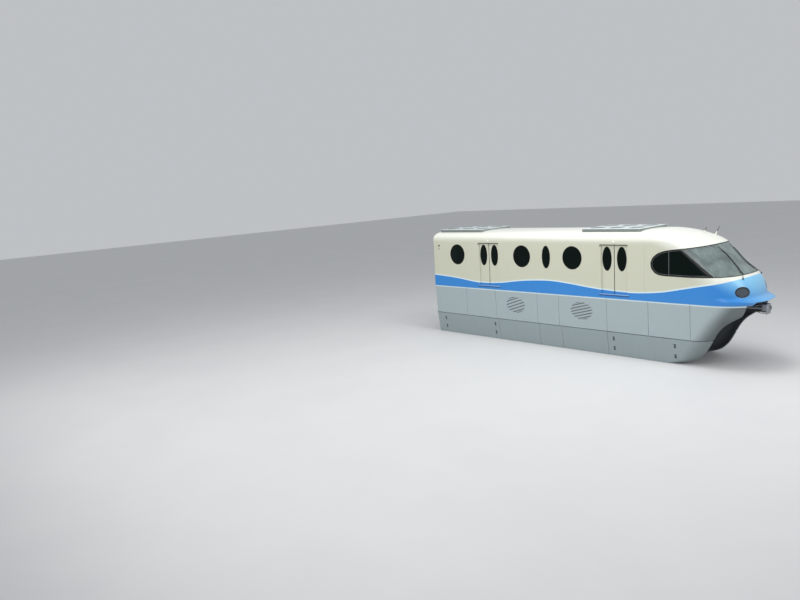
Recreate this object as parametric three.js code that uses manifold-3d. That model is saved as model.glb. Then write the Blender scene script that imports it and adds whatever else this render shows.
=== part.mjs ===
// Lead car of a straddle monorail train, full size.
// Millimetres, +X towards the nose, +Y left, +Z up.
// The origin is on the running surface of the beam, midway between the two bogies.
import * as THREE from 'three';
import { mergeVertices } from 'three/addons/utils/BufferGeometryUtils.js';
import Module from 'manifold-3d';

const wasm = await Module();
wasm.setup();

// Driving sizes of the body
const halfWidth = 1490;
const rearX = -6960;
const skirtBottomZ = -1460;
const divisionZ = -460;
const beltZ = 920;
const shoulderZ = 3180;
const crownZ = 3630;
const wallLean = 0.019;
const upperSkirtLean = 0.023;
const lowerSkirtLean = 0.125;
const shoulderPower = 3;
const frontPower = 2.4;
const rearCornerR = 90;
const rearRecess = 60;
const leastCornerR = 20;
const wallT = 50;
const skirtT = 40;
const jointGap = 0.3;
const capX = -6700;
const cabX = 4620;

// Doors and windows
const doorCentreX = 3290;
const doorWidth = 1190;
const doorLowZ = 1070;
const doorHighZ = 3070;
const leafT = 36;
const leafGap = 8;
const leafLap = 30;
const leafRebate = 12;
const windowZ = 2520;
const windowHeight = 960;
const slimWindow = 410;
const slimOffset = 330;
const roundWindow = 930;
const paneSeat = 1.3;

// Running gear on a beam 850 mm wide
const bogieX = 4750;
const axleOffset = 750;
const tyreR = 500;
const beamHalf = 425;
const guideR = 365;
const guideOffset = 1250;
const guideZ = -300;
const stableR = 325;
const stableZ = -1050;

// The nose, as horizontal slices: height, front on the centre line, start of the bend in the side
const noseSlices = [
  { z: skirtBottomZ, front: 6000, side: 5300 },
  { z: -1400, front: 6300, side: 5550 },
  { z: -1270, front: 6680, side: 5900 },
  { z: -980, front: 6980, side: 6150 },
  { z: -610, front: 7170, side: 6380 },
  { z: divisionZ, front: 7240, side: 6420 },
  { z: -150, front: 7420, side: 6500 },
  { z: 110, front: 7660, side: 6600 },
  { z: 350, front: 8060, side: 6720 },
  { z: 520, front: 8440, side: 6800 },
  { z: 700, front: 8520, side: 6850 },
  { z: beltZ, front: 8680, side: 6900 },
  { z: 1060, front: 8720, side: 6900 },
  { z: 1110, front: 8640, side: 6900 },
  { z: 1200, front: 8430, side: 6900 },
  { z: 1300, front: 8385, side: 6900 },
  { z: 1500, front: 8355, side: 6900 },
  { z: 1700, front: 8280, side: 6880 },
  { z: 1870, front: 8185, side: 6850 },
  { z: 2005, front: 8020, side: 6800 },
  { z: 2310, front: 7660, side: 6500 },
  { z: 2710, front: 7320, side: 6150 },
  { z: 3110, front: 6900, side: 5700 },
  { z: shoulderZ, front: 6770, side: 5600 },
  { z: 3240, front: 6620, side: 5450 },
  { z: 3320, front: 6370, side: 5250 },
  { z: 3450, front: 5950, side: 5000 },
  { z: 3550, front: 5450, side: 4750 },
  { z: 3600, front: 5080, side: 4660 },
  { z: crownZ, front: 4800, side: 4640 },
];

function mixRows(rows, z, column) {
  const last = rows.length - 1;
  if (z <= rows[0].z) return rows[0][column];
  if (z >= rows[last].z) return rows[last][column];
  const i = rows.findIndex((row) => row.z >= z);
  const t = (z - rows[i - 1].z) / (rows[i].z - rows[i - 1].z);
  return rows[i - 1][column] + t * (rows[i][column] - rows[i - 1][column]);
}

// Half width of the flat side at a height, leaning in above and below the belt
function sideWidth(z) {
  if (z < divisionZ) {
    const above = halfWidth - upperSkirtLean * (beltZ - divisionZ);
    return above - lowerSkirtLean * (divisionZ - z);
  }
  if (z < beltZ) return halfWidth - upperSkirtLean * (beltZ - z);
  const wall = halfWidth - wallLean * (z - beltZ);
  const t = Math.min(1, Math.max(0, (z - shoulderZ) / (crownZ - shoulderZ)));
  return wall * Math.max(0.12, (1 - t ** shoulderPower) ** (1 / shoulderPower));
}

// The roof comes forward where it rounds down to the rear end
function rearEdge(z) {
  const t = Math.min(1, Math.max(0, (z - shoulderZ) / (crownZ - shoulderZ)));
  return rearX + rearRecess * t ** 3;
}

// One horizontal slice of the body, drawn in by inset; counter-clockwise from above
function sliceRing(z, sampleZ, inset) {
  const w = sideWidth(sampleZ) - inset;
  const front = mixRows(noseSlices, sampleZ, 'front') - inset;
  const side = Math.min(mixRows(noseSlices, sampleZ, 'side'), front - 50);
  const back = rearEdge(sampleZ) + inset;
  const corner = Math.max(rearCornerR - inset, leastCornerR);
  const half = [];
  const frontSteps = 9;
  for (let i = 0; i <= frontSteps; i += 1) {
    const a = (i / frontSteps) * Math.PI / 2;
    const x = side + (front - side) * Math.cos(a) ** (2 / frontPower);
    half.push([x, w * Math.sin(a) ** (2 / frontPower)]);
  }
  for (let i = 0; i <= 3; i += 1) {
    const a = (i / 3) * Math.PI / 2;
    half.push([back + corner - corner * Math.sin(a), w - corner + corner * Math.cos(a)]);
  }
  const mirrored = half.slice(1).reverse().map(([x, y]) => [x, -y]);
  return [...half, ...mirrored].map(([x, y]) => [x, y, z]);
}

// A closed solid through rings of the same count of points, stacked upwards
function stack(rings) {
  const count = rings[0].length;
  const points = rings.flat();
  const faces = [];
  for (let r = 0; r < rings.length - 1; r += 1) {
    for (let i = 0; i < count; i += 1) {
      const a = r * count + i;
      const b = r * count + ((i + 1) % count);
      faces.push(a, b, b + count, a, b + count, a + count);
    }
  }
  const flat = rings[0].map(([x, y]) => new THREE.Vector2(x, y));
  const caps = THREE.ShapeUtils.triangulateShape(flat, []);
  const topFlat = rings[rings.length - 1].map(([x, y]) => new THREE.Vector2(x, y));
  const topCaps = THREE.ShapeUtils.triangulateShape(topFlat, []);
  const top = (rings.length - 1) * count;
  for (const [a, b, c] of caps) faces.push(c, b, a);
  for (const [a, b, c] of topCaps) faces.push(top + a, top + b, top + c);
  const vertProperties = new Float32Array(points.flat());
  const triVerts = new Uint32Array(faces);
  return new wasm.Manifold(new wasm.Mesh({ numProp: 3, vertProperties, triVerts }));
}

// How far up a slice is sampled, so that the roof keeps its thickness too
function bodySolid(inset, sideInset = inset) {
  const rings = [];
  for (const { z } of noseSlices) {
    const ramp = Math.min(1, Math.max(0, (z - 700) / 800));
    const height = z - inset * ramp;
    rings.push(sliceRing(height, z, sideInset));
  }
  return stack(rings);
}

function toSolid(geometry) {
  const bare = geometry.clone();
  for (const name of Object.keys(bare.attributes)) {
    if (name !== 'position') bare.deleteAttribute(name);
  }
  const merged = mergeVertices(bare, 1e-4);
  const vertProperties = new Float32Array(merged.attributes.position.array);
  const triVerts = new Uint32Array(merged.index.array);
  return new wasm.Manifold(new wasm.Mesh({ numProp: 3, vertProperties, triVerts }));
}

function toGeometry(solid) {
  const mesh = solid.getMesh();
  const geometry = new THREE.BufferGeometry();
  const positions = new Float32Array(mesh.numVert * 3);
  for (let i = 0; i < mesh.numVert; i += 1) {
    for (let k = 0; k < 3; k += 1) {
      positions[i * 3 + k] = mesh.vertProperties[i * mesh.numProp + k];
    }
  }
  geometry.setAttribute('position', new THREE.BufferAttribute(positions, 3));
  geometry.setIndex(Array.from(mesh.triVerts));
  geometry.computeVertexNormals();
  return geometry;
}

function box(low, high) {
  const size = high.map((v, i) => v - low[i]);
  const geometry = new THREE.BoxGeometry(...size);
  geometry.translate(...high.map((v, i) => (v + low[i]) / 2));
  return toSolid(geometry);
}

// A prism: an outline in X and Z carried along Y
function sidePrism(outline, lowY, highY) {
  const shape = new THREE.Shape(outline.map(([x, z]) => new THREE.Vector2(x, z)));
  const geometry = new THREE.ExtrudeGeometry(shape, { depth: highY - lowY, bevelEnabled: false });
  geometry.rotateX(Math.PI / 2);
  geometry.translate(0, highY, 0);
  return toSolid(geometry);
}

function ellipseOutline(x, z, width, height, steps = 16) {
  return Array.from({ length: steps }, (_, i) => {
    const a = (i / steps) * Math.PI * 2;
    return [x + width / 2 * Math.cos(a), z + height / 2 * Math.sin(a)];
  });
}

function turned(profile, segments) {
  const points = profile.map(([r, h]) => new THREE.Vector2(r, h));
  return toSolid(new THREE.LatheGeometry(points, segments));
}

function union(first, ...others) {
  return others.reduce((sum, solid) => sum.add(solid), first);
}

const car = new THREE.Group();

const finishes = {
  cream: { color: 0xd6d6c2, roughness: 0.35, metalness: 0.0 },
  grey: { color: 0xa6b1b5, roughness: 0.4, metalness: 0.0 },
  lowerGrey: { color: 0x98a2a6, roughness: 0.4, metalness: 0.0 },
  roofWhite: { color: 0xf0f0ea, roughness: 0.4, metalness: 0.0 },
  darkSteel: { color: 0x3a3d40, roughness: 0.6, metalness: 0.7 },
  aluminium: { color: 0xa0a4a6, roughness: 0.45, metalness: 0.8 },
  glass: { color: 0x1b2224, roughness: 0.08, metalness: 0.0 },
  tyre: { color: 0x17181a, roughness: 0.85, metalness: 0.0 },
  rubber: { color: 0x202224, roughness: 0.8, metalness: 0.0 },
  plastic: { color: 0x5a6066, roughness: 0.6, metalness: 0.0 },
  fabric: { color: 0x34507a, roughness: 0.9, metalness: 0.0 },
};

function addPiece(name, solid, finish) {
  const material = new THREE.MeshStandardMaterial(finishes[finish]);
  const mesh = new THREE.Mesh(toGeometry(solid), material);
  mesh.name = name;
  car.add(mesh);
}

const outer = bodySolid(0);
const inner = bodySolid(wallT);
const shell = outer.subtract(inner);
const cabin = bodySolid(wallT + jointGap);
const far = 20000;

// Side walls, each with its two doorways, its windows and the rail that carries the doors
const sides = [
  { name: 'right', sign: -1 },
  { name: 'left', sign: 1 },
];
const doorways = [
  { name: 'rear', x: -doorCentreX },
  { name: 'front', x: doorCentreX },
];
const windows = [
  { x: -5280, width: roundWindow, group: 'rear' },
  { x: -1330, width: roundWindow, group: 'middle' },
  { x: 0, width: slimWindow, group: 'middle' },
  { x: 1330, width: roundWindow, group: 'middle' },
];
const leafTopZ = doorHighZ + leafLap;
const railHeight = 60;
const railReach = 1280;
const ledgeReach = 680;
const ledgeReachY = 1500;
const ledgeT = 40;

function yRange(sign, low, high) {
  return sign > 0 ? [low, high] : [-high, -low];
}

function sideWall(sign) {
  const [lowY, highY] = yRange(sign, 1, far);
  const region = box([capX + jointGap, lowY, beltZ], [cabX, highY, shoulderZ]);
  let wall = shell.intersect(region);
  for (const { x } of doorways) {
    const [a, b] = yRange(sign, 1000, 2000);
    wall = wall.subtract(box([x - doorWidth / 2, a, doorLowZ], [x + doorWidth / 2, b, doorHighZ]));
    const [c, d] = yRange(sign, 1370, sideWidth(leafTopZ) - wallT / 2);
    const rail = box([x - railReach, c, leafTopZ + jointGap], [x + railReach, d, leafTopZ + railHeight]);
    const [e, f] = yRange(sign, sideWidth(doorLowZ) - wallT / 2, ledgeReachY);
    const ledge = box([x - ledgeReach, e, doorLowZ - ledgeT], [x + ledgeReach, f, doorLowZ]);
    wall = union(wall, rail, ledge);
  }
  for (const { x, width } of windows) {
    const [a, b] = yRange(sign, 1000, 2000);
    wall = wall.subtract(sidePrism(ellipseOutline(x, windowZ, width, windowHeight), a, b));
  }
  return wall;
}

// A flat slab that leans as the wall does, from one depth behind the outer face to another
function leaningSlab(sign, x0, x1, z0, z1, near, deep) {
  const ring = (z) => {
    const ys = [sign * (sideWidth(z) - near), sign * (sideWidth(z) - deep)];
    const low = Math.min(...ys);
    const high = Math.max(...ys);
    return [[x0, low, z], [x1, low, z], [x1, high, z], [x0, high, z]];
  };
  return stack([ring(z0), ring(z1)]);
}

function leaf(sign, centreX, side) {
  const inside = centreX + side * 4;
  const outside = centreX + side * (doorWidth / 2 + leafLap);
  const near = wallT + leafGap;
  const x0 = Math.min(inside, outside);
  const x1 = Math.max(inside, outside);
  const slab = leaningSlab(sign, x0, x1, doorLowZ + leafGap, leafTopZ, near, near + leafT);
  const [a, b] = yRange(sign, 1000, 2000);
  const windowX = centreX + side * slimOffset;
  const hole = sidePrism(ellipseOutline(windowX, windowZ, slimWindow, windowHeight), a, b);
  // The pane stays in the middle of the leaf's thickness
  const pane = leaningSlab(sign, x0, x1, doorLowZ + leafGap, leafTopZ, near + leafRebate, near + leafT - leafRebate);
  return slab.subtract(hole.subtract(pane));
}

function windowPane(sign, group) {
  const members = windows.filter((row) => row.group === group);
  const x0 = Math.min(...members.map((row) => row.x - row.width / 2)) - 60;
  const x1 = Math.max(...members.map((row) => row.x + row.width / 2)) + 60;
  const z0 = windowZ - windowHeight / 2 - 60;
  const z1 = windowZ + windowHeight / 2 + 60;
  let pane = leaningSlab(sign, x0, x1, z0, z1, wallT + paneSeat, wallT + 10);
  const raised = leaningSlab(sign, x0, x1, z0, z1, 8, wallT + 5);
  for (const { x, width } of members) {
    const [a, b] = yRange(sign, 1000, 2000);
    const plug = sidePrism(ellipseOutline(x, windowZ, width - 4, windowHeight - 4), a, b);
    pane = pane.add(raised.intersect(plug));
  }
  return pane;
}

for (const { name, sign } of sides) {
  addPiece(`wall_${name}`, sideWall(sign), 'cream');
  addPiece(`window_rear_${name}`, windowPane(sign, 'rear'), 'glass');
  addPiece(`window_middle_${name}`, windowPane(sign, 'middle'), 'glass');
  for (const doorway of doorways) {
    addPiece(`door_${doorway.name}_${name}_a`, leaf(sign, doorway.x, -1), 'cream');
    addPiece(`door_${doorway.name}_${name}_b`, leaf(sign, doorway.x, 1), 'cream');
  }
}

// Roof and rear end cap with its doorway to the next car
const roofRegion = box([capX + jointGap, -far, shoulderZ + jointGap], [cabX, far, far]);
addPiece('roof', shell.intersect(roofRegion), 'roofWhite');

const gangwayHalf = 420;
const gangwayTopZ = 3000;
const capRegion = box([-far, -far, beltZ], [capX, far, far]);
const gangwayCut = box([-far, -gangwayHalf, doorLowZ], [capX + 1, gangwayHalf, gangwayTopZ]);
addPiece('rear_cap', shell.intersect(capRegion).subtract(gangwayCut), 'cream');

const bellowsOuterY = 620;
const bellowsReach = 190;
const bellowsOut = box(
  [rearX - bellowsReach, -bellowsOuterY, 1000],
  [rearX - jointGap, bellowsOuterY, gangwayTopZ + 170],
);
const bellowsIn = box(
  [rearX - bellowsReach - 1, -gangwayHalf, doorLowZ],
  [rearX + 1, gangwayHalf, gangwayTopZ],
);
addPiece('gangway_bellows', bellowsOut.subtract(bellowsIn), 'rubber');

// Cab glass, seen from the side: an outline with a round rear end that runs out past the nose
const glassOutline = [
  [5400, 1952], [6440, 1925], [7200, 1972], [7800, 1962], [8300, 2010],
  [9400, 2030], [9400, 3200], [7650, 3140], [6970, 3060], [6300, 2980], [5700, 2920], [5420, 2870],
  [5160, 2780], [4960, 2620], [4880, 2420], [4900, 2220], [5040, 2040], [5200, 1970],
];

function shrinkOutline(outline, by) {
  const centre = [6600, 2450];
  return outline.map(([x, z]) => [x + Math.sign(centre[0] - x) * by, z + Math.sign(centre[1] - z) * by]);
}

const glassCut = sidePrism(glassOutline, -far, far);
const glassBody = bodySolid(6).subtract(bodySolid(28));
const glassPrism = sidePrism(shrinkOutline(glassOutline, 1), -far, far);
addPiece('cab_glass', glassBody.intersect(glassPrism), 'glass');

// Slanted pillars behind the cab glass
const pillarOutline = [[7140, 1900], [7290, 1900], [6070, 3060], [5920, 3060]];
const pillars = bodySolid(30).subtract(bodySolid(80)).intersect(sidePrism(pillarOutline, -far, far));

// Headlamps: oval openings that face forwards and outwards
const lampX = 8130;
const lampY = 1000;
const lampZ = 1403;
const lampHalfHeight = 186;
const lampHalfWidth = 272;
const lampReach = 350;
const lampTurn = THREE.MathUtils.degToRad(40);

function lampCylinder(sign, slack) {
  const geometry = new THREE.CylinderGeometry(1, 1, 2 * lampReach, 28);
  geometry.rotateZ(-Math.PI / 2);
  geometry.scale(1, lampHalfWidth - slack, lampHalfHeight - slack);
  geometry.rotateZ(sign * lampTurn);
  geometry.translate(lampX, sign * lampY, lampZ);
  return toSolid(geometry);
}

// Nose shell, open behind towards the cabin and below, with a mouth for the coupler under its lip
const mouthHalf = 820;
const mouthTopZ = 1060;
const mouth = box([7000, -mouthHalf, beltZ - 1], [far, mouthHalf, mouthTopZ]);
const noseRegion = box([cabX + jointGap, -far, beltZ], [far, far, far]);
const lampCuts = union(lampCylinder(1, 0), lampCylinder(-1, 0));
let nose = shell.intersect(noseRegion).subtract(glassCut).add(pillars);
nose = nose.subtract(mouth).subtract(lampCuts);

addPiece('nose_shell', nose, 'roofWhite');

for (const { name, sign } of sides) {
  const lens = bodySolid(4).subtract(bodySolid(44)).intersect(lampCylinder(sign, 1));
  addPiece(`headlamp_${name}`, lens, 'glass');
}

// Skirts in two rows on each side, with the louvred grilles of the equipment cases
const skirtShell = outer.subtract(bodySolid(0, skirtT));
const skirtInnerY = 1000;
const skirtRows = [
  { name: 'upper', low: divisionZ, high: beltZ - jointGap, finish: 'grey' },
  { name: 'lower', low: skirtBottomZ - 1, high: divisionZ - jointGap, finish: 'lowerGrey' },
];
const grilles = [
  { x: -1785, z: 250, halfHeight: 360, slots: 5, pitch: 146 },
  { x: 1735, z: 300, halfHeight: 370, slots: 6, pitch: 124 },
];
const grilleHalf = 510;
const slotHeight = 50;
const slotRise = 0.28;

function grilleSlots(sign) {
  const cuts = [];
  const [a, b] = yRange(sign, 1300, 1600);
  for (const { x, z, halfHeight, slots, pitch } of grilles) {
    for (let i = 0; i < slots; i += 1) {
      const offset = (i - (slots - 1) / 2) * pitch;
      const reach = grilleHalf * Math.sqrt(1 - (offset / halfHeight) ** 2);
      const rise = slotRise * reach;
      const low = z + offset - slotHeight / 2;
      const high = low + slotHeight;
      const left = x - reach;
      const right = x + reach;
      const outline = [[left, low - rise], [right, low + rise], [right, high + rise], [left, high - rise]];
      cuts.push(sidePrism(outline, a, b));
    }
  }
  return union(...cuts);
}

for (const row of skirtRows) {
  for (const { name, sign } of sides) {
    const [a, b] = yRange(sign, skirtInnerY, far);
    let panel = skirtShell.intersect(box([-far, a, row.low], [far, b, row.high]));
    if (row.name === 'upper') panel = panel.subtract(grilleSlots(sign));
    addPiece(`skirt_${row.name}_${name}`, panel, row.finish);
  }
}

// Floor with side sills, the bolsters over the bogies and the equipment cases between them
const floorTopZ = 1070;
const floorT = 40;
const floorLowZ = floorTopZ - floorT;
const floorRearX = rearX + wallT + jointGap;
const floorFrontX = 7900;
const bolsterHalfX = 180;
const bolsterLowZ = 760;
const caseReachX = 2600;
const caseInnerY = 680;
const caseOuterY = 1240;
const caseLowZ = -1100;
let floor = cabin.intersect(box([floorRearX, -far, floorLowZ], [floorFrontX, far, floorTopZ]));
for (const { sign } of sides) {
  const [a, b] = yRange(sign, 1180, 1400);
  const sill = box([floorRearX + 200, a, 860], [6200, b, floorLowZ + 5]);
  const [c, d] = yRange(sign, caseInnerY, caseOuterY);
  const unit = box([-caseReachX, c, caseLowZ], [caseReachX, d, floorLowZ + 5]);
  floor = union(floor, sill, unit);
}
for (const x of [-bogieX, bogieX]) {
  const bolster = box([x - bolsterHalfX, -1200, bolsterLowZ], [x + bolsterHalfX, 1200, floorLowZ + 5]);
  floor = floor.add(bolster);
}
addPiece('floor', floor, 'aluminium');

// Air-conditioning units, seated on the curve of the roof
const roofSeat = bodySolid(-jointGap);
const roofUnits = [
  { name: 'rear', x0: -6760, x1: -3950 },
  { name: 'front', x0: 1570, x1: 4250 },
];
const unitHalf = 1050;
const unitTopZ = 3715;
const unitBevel = 30;
const unitInset = 60;
for (const { name, x0, x1 } of roofUnits) {
  const shoulder = unitTopZ - unitBevel;
  const base = box([x0, -unitHalf, shoulderZ], [x1, unitHalf, shoulder]);
  const ring = (draw, z) => {
    const y = unitHalf - draw;
    return [[x1 - draw, y, z], [x0 + draw, y, z], [x0 + draw, -y, z], [x1 - draw, -y, z]];
  };
  const lid = stack([ring(0, shoulder), ring(unitInset, unitTopZ)]);
  addPiece(`roof_unit_${name}`, union(base, lid).subtract(roofSeat), 'grey');
}

// Couplers under the ends of the floor
function coupler(sign, mountX, endX) {
  const at = (a, b, y, z0, z1) => box([Math.min(a, b), -y, z0], [Math.max(a, b), y, z1]);
  const bracket = at(mountX, mountX + sign * 260, 240, 780, floorLowZ - jointGap);
  const shank = at(mountX + sign * 60, endX - sign * 240, 70, 620, 790);
  const neck = at(mountX + sign * 60, mountX + sign * 220, 120, 600, 800);
  const head = at(endX - sign * 250, endX, 190, 500, 880);
  const web = at(mountX + sign * 200, endX - sign * 200, 40, 560, 850);
  return union(bracket, shank, neck, head, web);
}
addPiece('coupler_front', coupler(1, 7200, 8660), 'darkSteel');
addPiece('coupler_rear', coupler(-1, -6400, -7240), 'darkSteel');

// Cabin: benches along the walls, bulkhead, desk and chair
const benchBack = 1370;
const benchReach = 1950;
for (const { name, sign } of sides) {
  const outline = [
    [1100, 1500], [900, 1500], [880, 1440], [900, 1400], [1250, 1400], [1250, floorTopZ + jointGap],
    [benchBack, floorTopZ + jointGap], [benchBack, 1990], [1310, 1990], [1250, 1500],
  ];
  const shape = new THREE.Shape(outline.map(([y, z]) => new THREE.Vector2(sign * y, z)));
  const geometry = new THREE.ExtrudeGeometry(shape, { depth: 2 * benchReach, bevelEnabled: false });
  geometry.rotateX(Math.PI / 2);
  geometry.rotateZ(Math.PI / 2);
  geometry.translate(-benchReach, 0, 0);
  addPiece(`bench_${name}`, toSolid(geometry), 'fabric');
}

const bulkheadX = 5570;
const bulkhead = cabin.intersect(box([bulkheadX, -far, floorTopZ + jointGap], [bulkheadX + 50, far, 3480]));
const bulkheadDoor = box([bulkheadX - 1, -330, floorTopZ + 60], [bulkheadX + 51, 330, 2950]);
const bulkheadKeep = bulkhead.subtract(bulkheadDoor);
const bulkheadRoom = bodySolid(80 + jointGap);
addPiece('cab_bulkhead', bulkheadKeep.intersect(bulkheadRoom), 'plastic');

const deskRoom = bodySolid(90);
const deskOutline = [
  [7000, 1780], [7060, 1840], [7420, 1900], [8100, 1900], [8100, 1700], [7500, 1640],
  [7400, floorTopZ + jointGap], [7250, floorTopZ + jointGap], [7200, 1700],
];
addPiece('driver_desk', sidePrism(deskOutline, -1100, 1100).intersect(deskRoom), 'plastic');

const chairOutline = [
  [6250, 1560], [6230, 1500], [6420, 1480], [6430, 1120], [6330, 1100], [6330, floorTopZ + jointGap],
  [6650, floorTopZ + jointGap], [6650, 1100], [6520, 1120], [6520, 1480], [6720, 1500], [6720, 1580],
  [6330, 1590], [6220, 2200], [6130, 2200],
];
addPiece('driver_chair', sidePrism(chairOutline, -240, 240), 'fabric');

// Bogies: a frame astride the beam, two twin-tyred axles, four guide wheels and two lower wheels each
const sidePlateY = 450;
const sidePlateT = 90;
const frameHalfX = 1480;
const guideY = beamHalf + guideR;
const stableY = beamHalf + stableR;
const armX = 170;

function bogieFrame(x) {
  const parts = [];
  for (const sign of [1, -1]) {
    const [a, b] = yRange(sign, sidePlateY, sidePlateY + sidePlateT);
    parts.push(box([x - frameHalfX, a, 330], [x + frameHalfX, b, 680]));
    for (const end of [-1, 1]) {
      const gx = x + end * guideOffset;
      const [c, d] = yRange(sign, sidePlateY + 10, guideY + 130);
      parts.push(box([gx - 130, c, -140], [gx + 130, d, 80]));
      const [e, f] = yRange(sign, sidePlateY + 10, sidePlateY + sidePlateT);
      parts.push(box([gx - 130, e, 70], [gx + 130, f, 340]));
    }
    const [g, h] = yRange(sign, sidePlateY + 10, 1230);
    parts.push(box([x - armX, g, 340], [x + armX, h, 480]));
    const [i, j] = yRange(sign, stableY + stableR + 35, 1230);
    parts.push(box([x - armX, i, -1240], [x + armX, j, 470]));
    const [k, l] = yRange(sign, stableY - 90, 1230);
    parts.push(box([x - 110, k, -900], [x + 110, l, -860]));
    parts.push(box([x - 110, k, -1240], [x + 110, l, -1200]));
  }
  const top = bolsterLowZ - jointGap;
  parts.push(box([x - 200, -sidePlateY - 10, 420], [x + 200, sidePlateY + 10, top]));
  for (const end of [-1, 1]) {
    const low = Math.min(end * 1400, end * frameHalfX);
    parts.push(box([x + low, -sidePlateY - 10, 380], [x + low + 80, sidePlateY + 10, 640]));
  }
  return union(...parts);
}

function twinAxle(x) {
  const end = sidePlateY - jointGap;
  const half = [[60, end], [60, 300], [250, 290], [430, 350], [tyreR, 310], [tyreR, 75], [430, 35], [60, 40]];
  const back = half.slice().reverse().map(([r, h]) => [r, -h]);
  const profile = [[0, end], ...half, ...back, [0, -end]].reverse();
  return turned(profile, 20).translate([x, 0, tyreR]);
}

function sideWheel(x, y, z, radius, low, high) {
  const profile = [
    [0, low], [45, low], [45, -60], [radius - 90, -80], [radius, -60],
    [radius, 60], [radius - 90, 80], [45, 60], [45, high], [0, high],
  ];
  return turned(profile, 16).rotate([90, 0, 0]).translate([x, y, z]);
}

for (const { name, sign } of doorways.map((row) => ({ name: row.name, sign: Math.sign(row.x) }))) {
  const x = sign * bogieX;
  addPiece(`bogie_frame_${name}`, bogieFrame(x), 'darkSteel');
  for (const end of [1, -1]) {
    const where = end * sign > 0 ? 'outer' : 'inner';
    addPiece(`axle_${name}_${where}`, twinAxle(x + end * axleOffset), 'tyre');
    for (const side of sides) {
      const y = side.sign * guideY;
      const wheel = sideWheel(x + end * guideOffset, y, guideZ, guideR, -110, -140 - guideZ - jointGap);
      addPiece(`guide_${name}_${where}_${side.name}`, wheel, 'tyre');
    }
  }
  for (const side of sides) {
    const y = side.sign * stableY;
    const low = -1200 - stableZ + jointGap;
    const high = -900 - stableZ - jointGap;
    addPiece(`stabiliser_${name}_${side.name}`, sideWheel(x, y, stableZ, stableR, low, high), 'tyre');
  }
}

export default car;
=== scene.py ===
# Lead car of a straddle monorail train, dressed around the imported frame.
# Metres, +X towards the nose, +Y left, +Z up. The origin is on the beam between the two bogies.
import math
import bmesh
import bpy
import numpy as np
from mathutils import Matrix


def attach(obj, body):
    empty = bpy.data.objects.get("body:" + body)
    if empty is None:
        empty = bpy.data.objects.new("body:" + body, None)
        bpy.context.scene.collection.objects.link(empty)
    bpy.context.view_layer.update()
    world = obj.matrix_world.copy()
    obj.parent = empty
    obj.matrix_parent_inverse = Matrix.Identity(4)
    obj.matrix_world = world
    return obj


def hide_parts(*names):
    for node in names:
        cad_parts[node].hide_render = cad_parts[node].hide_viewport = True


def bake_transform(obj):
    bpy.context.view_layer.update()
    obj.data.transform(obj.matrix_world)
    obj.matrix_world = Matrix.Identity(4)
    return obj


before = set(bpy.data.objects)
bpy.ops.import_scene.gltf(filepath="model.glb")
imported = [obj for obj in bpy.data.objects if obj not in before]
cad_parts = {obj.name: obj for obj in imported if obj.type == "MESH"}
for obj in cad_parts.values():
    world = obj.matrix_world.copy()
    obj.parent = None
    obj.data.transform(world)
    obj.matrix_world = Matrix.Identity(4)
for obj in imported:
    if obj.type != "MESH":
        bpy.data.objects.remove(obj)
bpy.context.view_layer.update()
sides = {"Right": -1, "Left": 1}
sideOut = (0, -1, 0)
tolerance = {"merge": 2e-4, "degenerate": 1e-5}
middlePlate = {"x": (-6.2, 6.0), "z": (-1.2, 2.6)}
print("frame loaded")


# ---- meshes as arrays ----
def gridFaces(rows, cols, closed=False):
    # one quad for each cell of the grid; closed joins the last column to the first
    r, c = np.meshgrid(np.arange(rows - 1), np.arange(cols if closed else cols - 1), indexing="ij")
    d = (c + 1) % cols
    return np.stack([r * cols + c, r * cols + d, (r + 1) * cols + d, (r + 1) * cols + c], -1).reshape(-1, 4)


def sheet(points, closed=False):
    return points.reshape(-1, 3), gridFaces(*points.shape[:2], closed)


def mirrored(part):
    verts, faces = part
    return verts * [1, -1, 1], faces[:, ::-1]


def paired(parts):
    # every part with its mirror image on the other side
    return [p for q in parts for p in (q, mirrored(q))]


def onSide(parts, sign):
    # parts are drawn on the right side, where y is below zero
    return parts if sign < 0 else [mirrored(p) for p in parts]


def moved(part, offset):
    return part[0] + np.asarray(offset, float), part[1]


def scattered(part, places):
    # one copy of a small part at every place
    verts, faces = part
    places = np.atleast_2d(places)
    allVerts = (verts[None] + places[:, None]).reshape(-1, 3)
    steps = np.arange(len(places))[:, None, None] * len(verts)
    return allVerts, (faces[None] + steps).reshape(-1, faces.shape[1])


def facingOut(part):
    # turns a sheet of the body so that it faces away from a plate in the car's middle plane
    verts, faces = part
    a, b, c, d = (verts[faces[:, k]] for k in (0, 1, 2, -1))
    centre = (a + b + c + d) / 4
    inner = np.stack([centre[:, 0].clip(*middlePlate["x"]), 0 * centre[:, 1], centre[:, 2].clip(*middlePlate["z"])], 1)
    return part if (np.cross(c - a, d - b) * (centre - inner)).sum() > 0 else (verts, faces[:, ::-1])


def newMesh(name, verts, faces):
    mesh = bpy.data.meshes.new(name)
    mesh.from_pydata(verts.tolist(), [], faces)
    return mesh


def linked(name, data):
    item = bpy.data.objects.new(name, data)
    bpy.context.scene.collection.objects.link(item)
    return item


def applied(item):
    # the mesh that an object's modifiers make of it
    mesh = bpy.data.meshes.new_from_object(item.evaluated_get(bpy.context.evaluated_depsgraph_get()))
    item.modifiers.clear()
    return mesh


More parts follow.
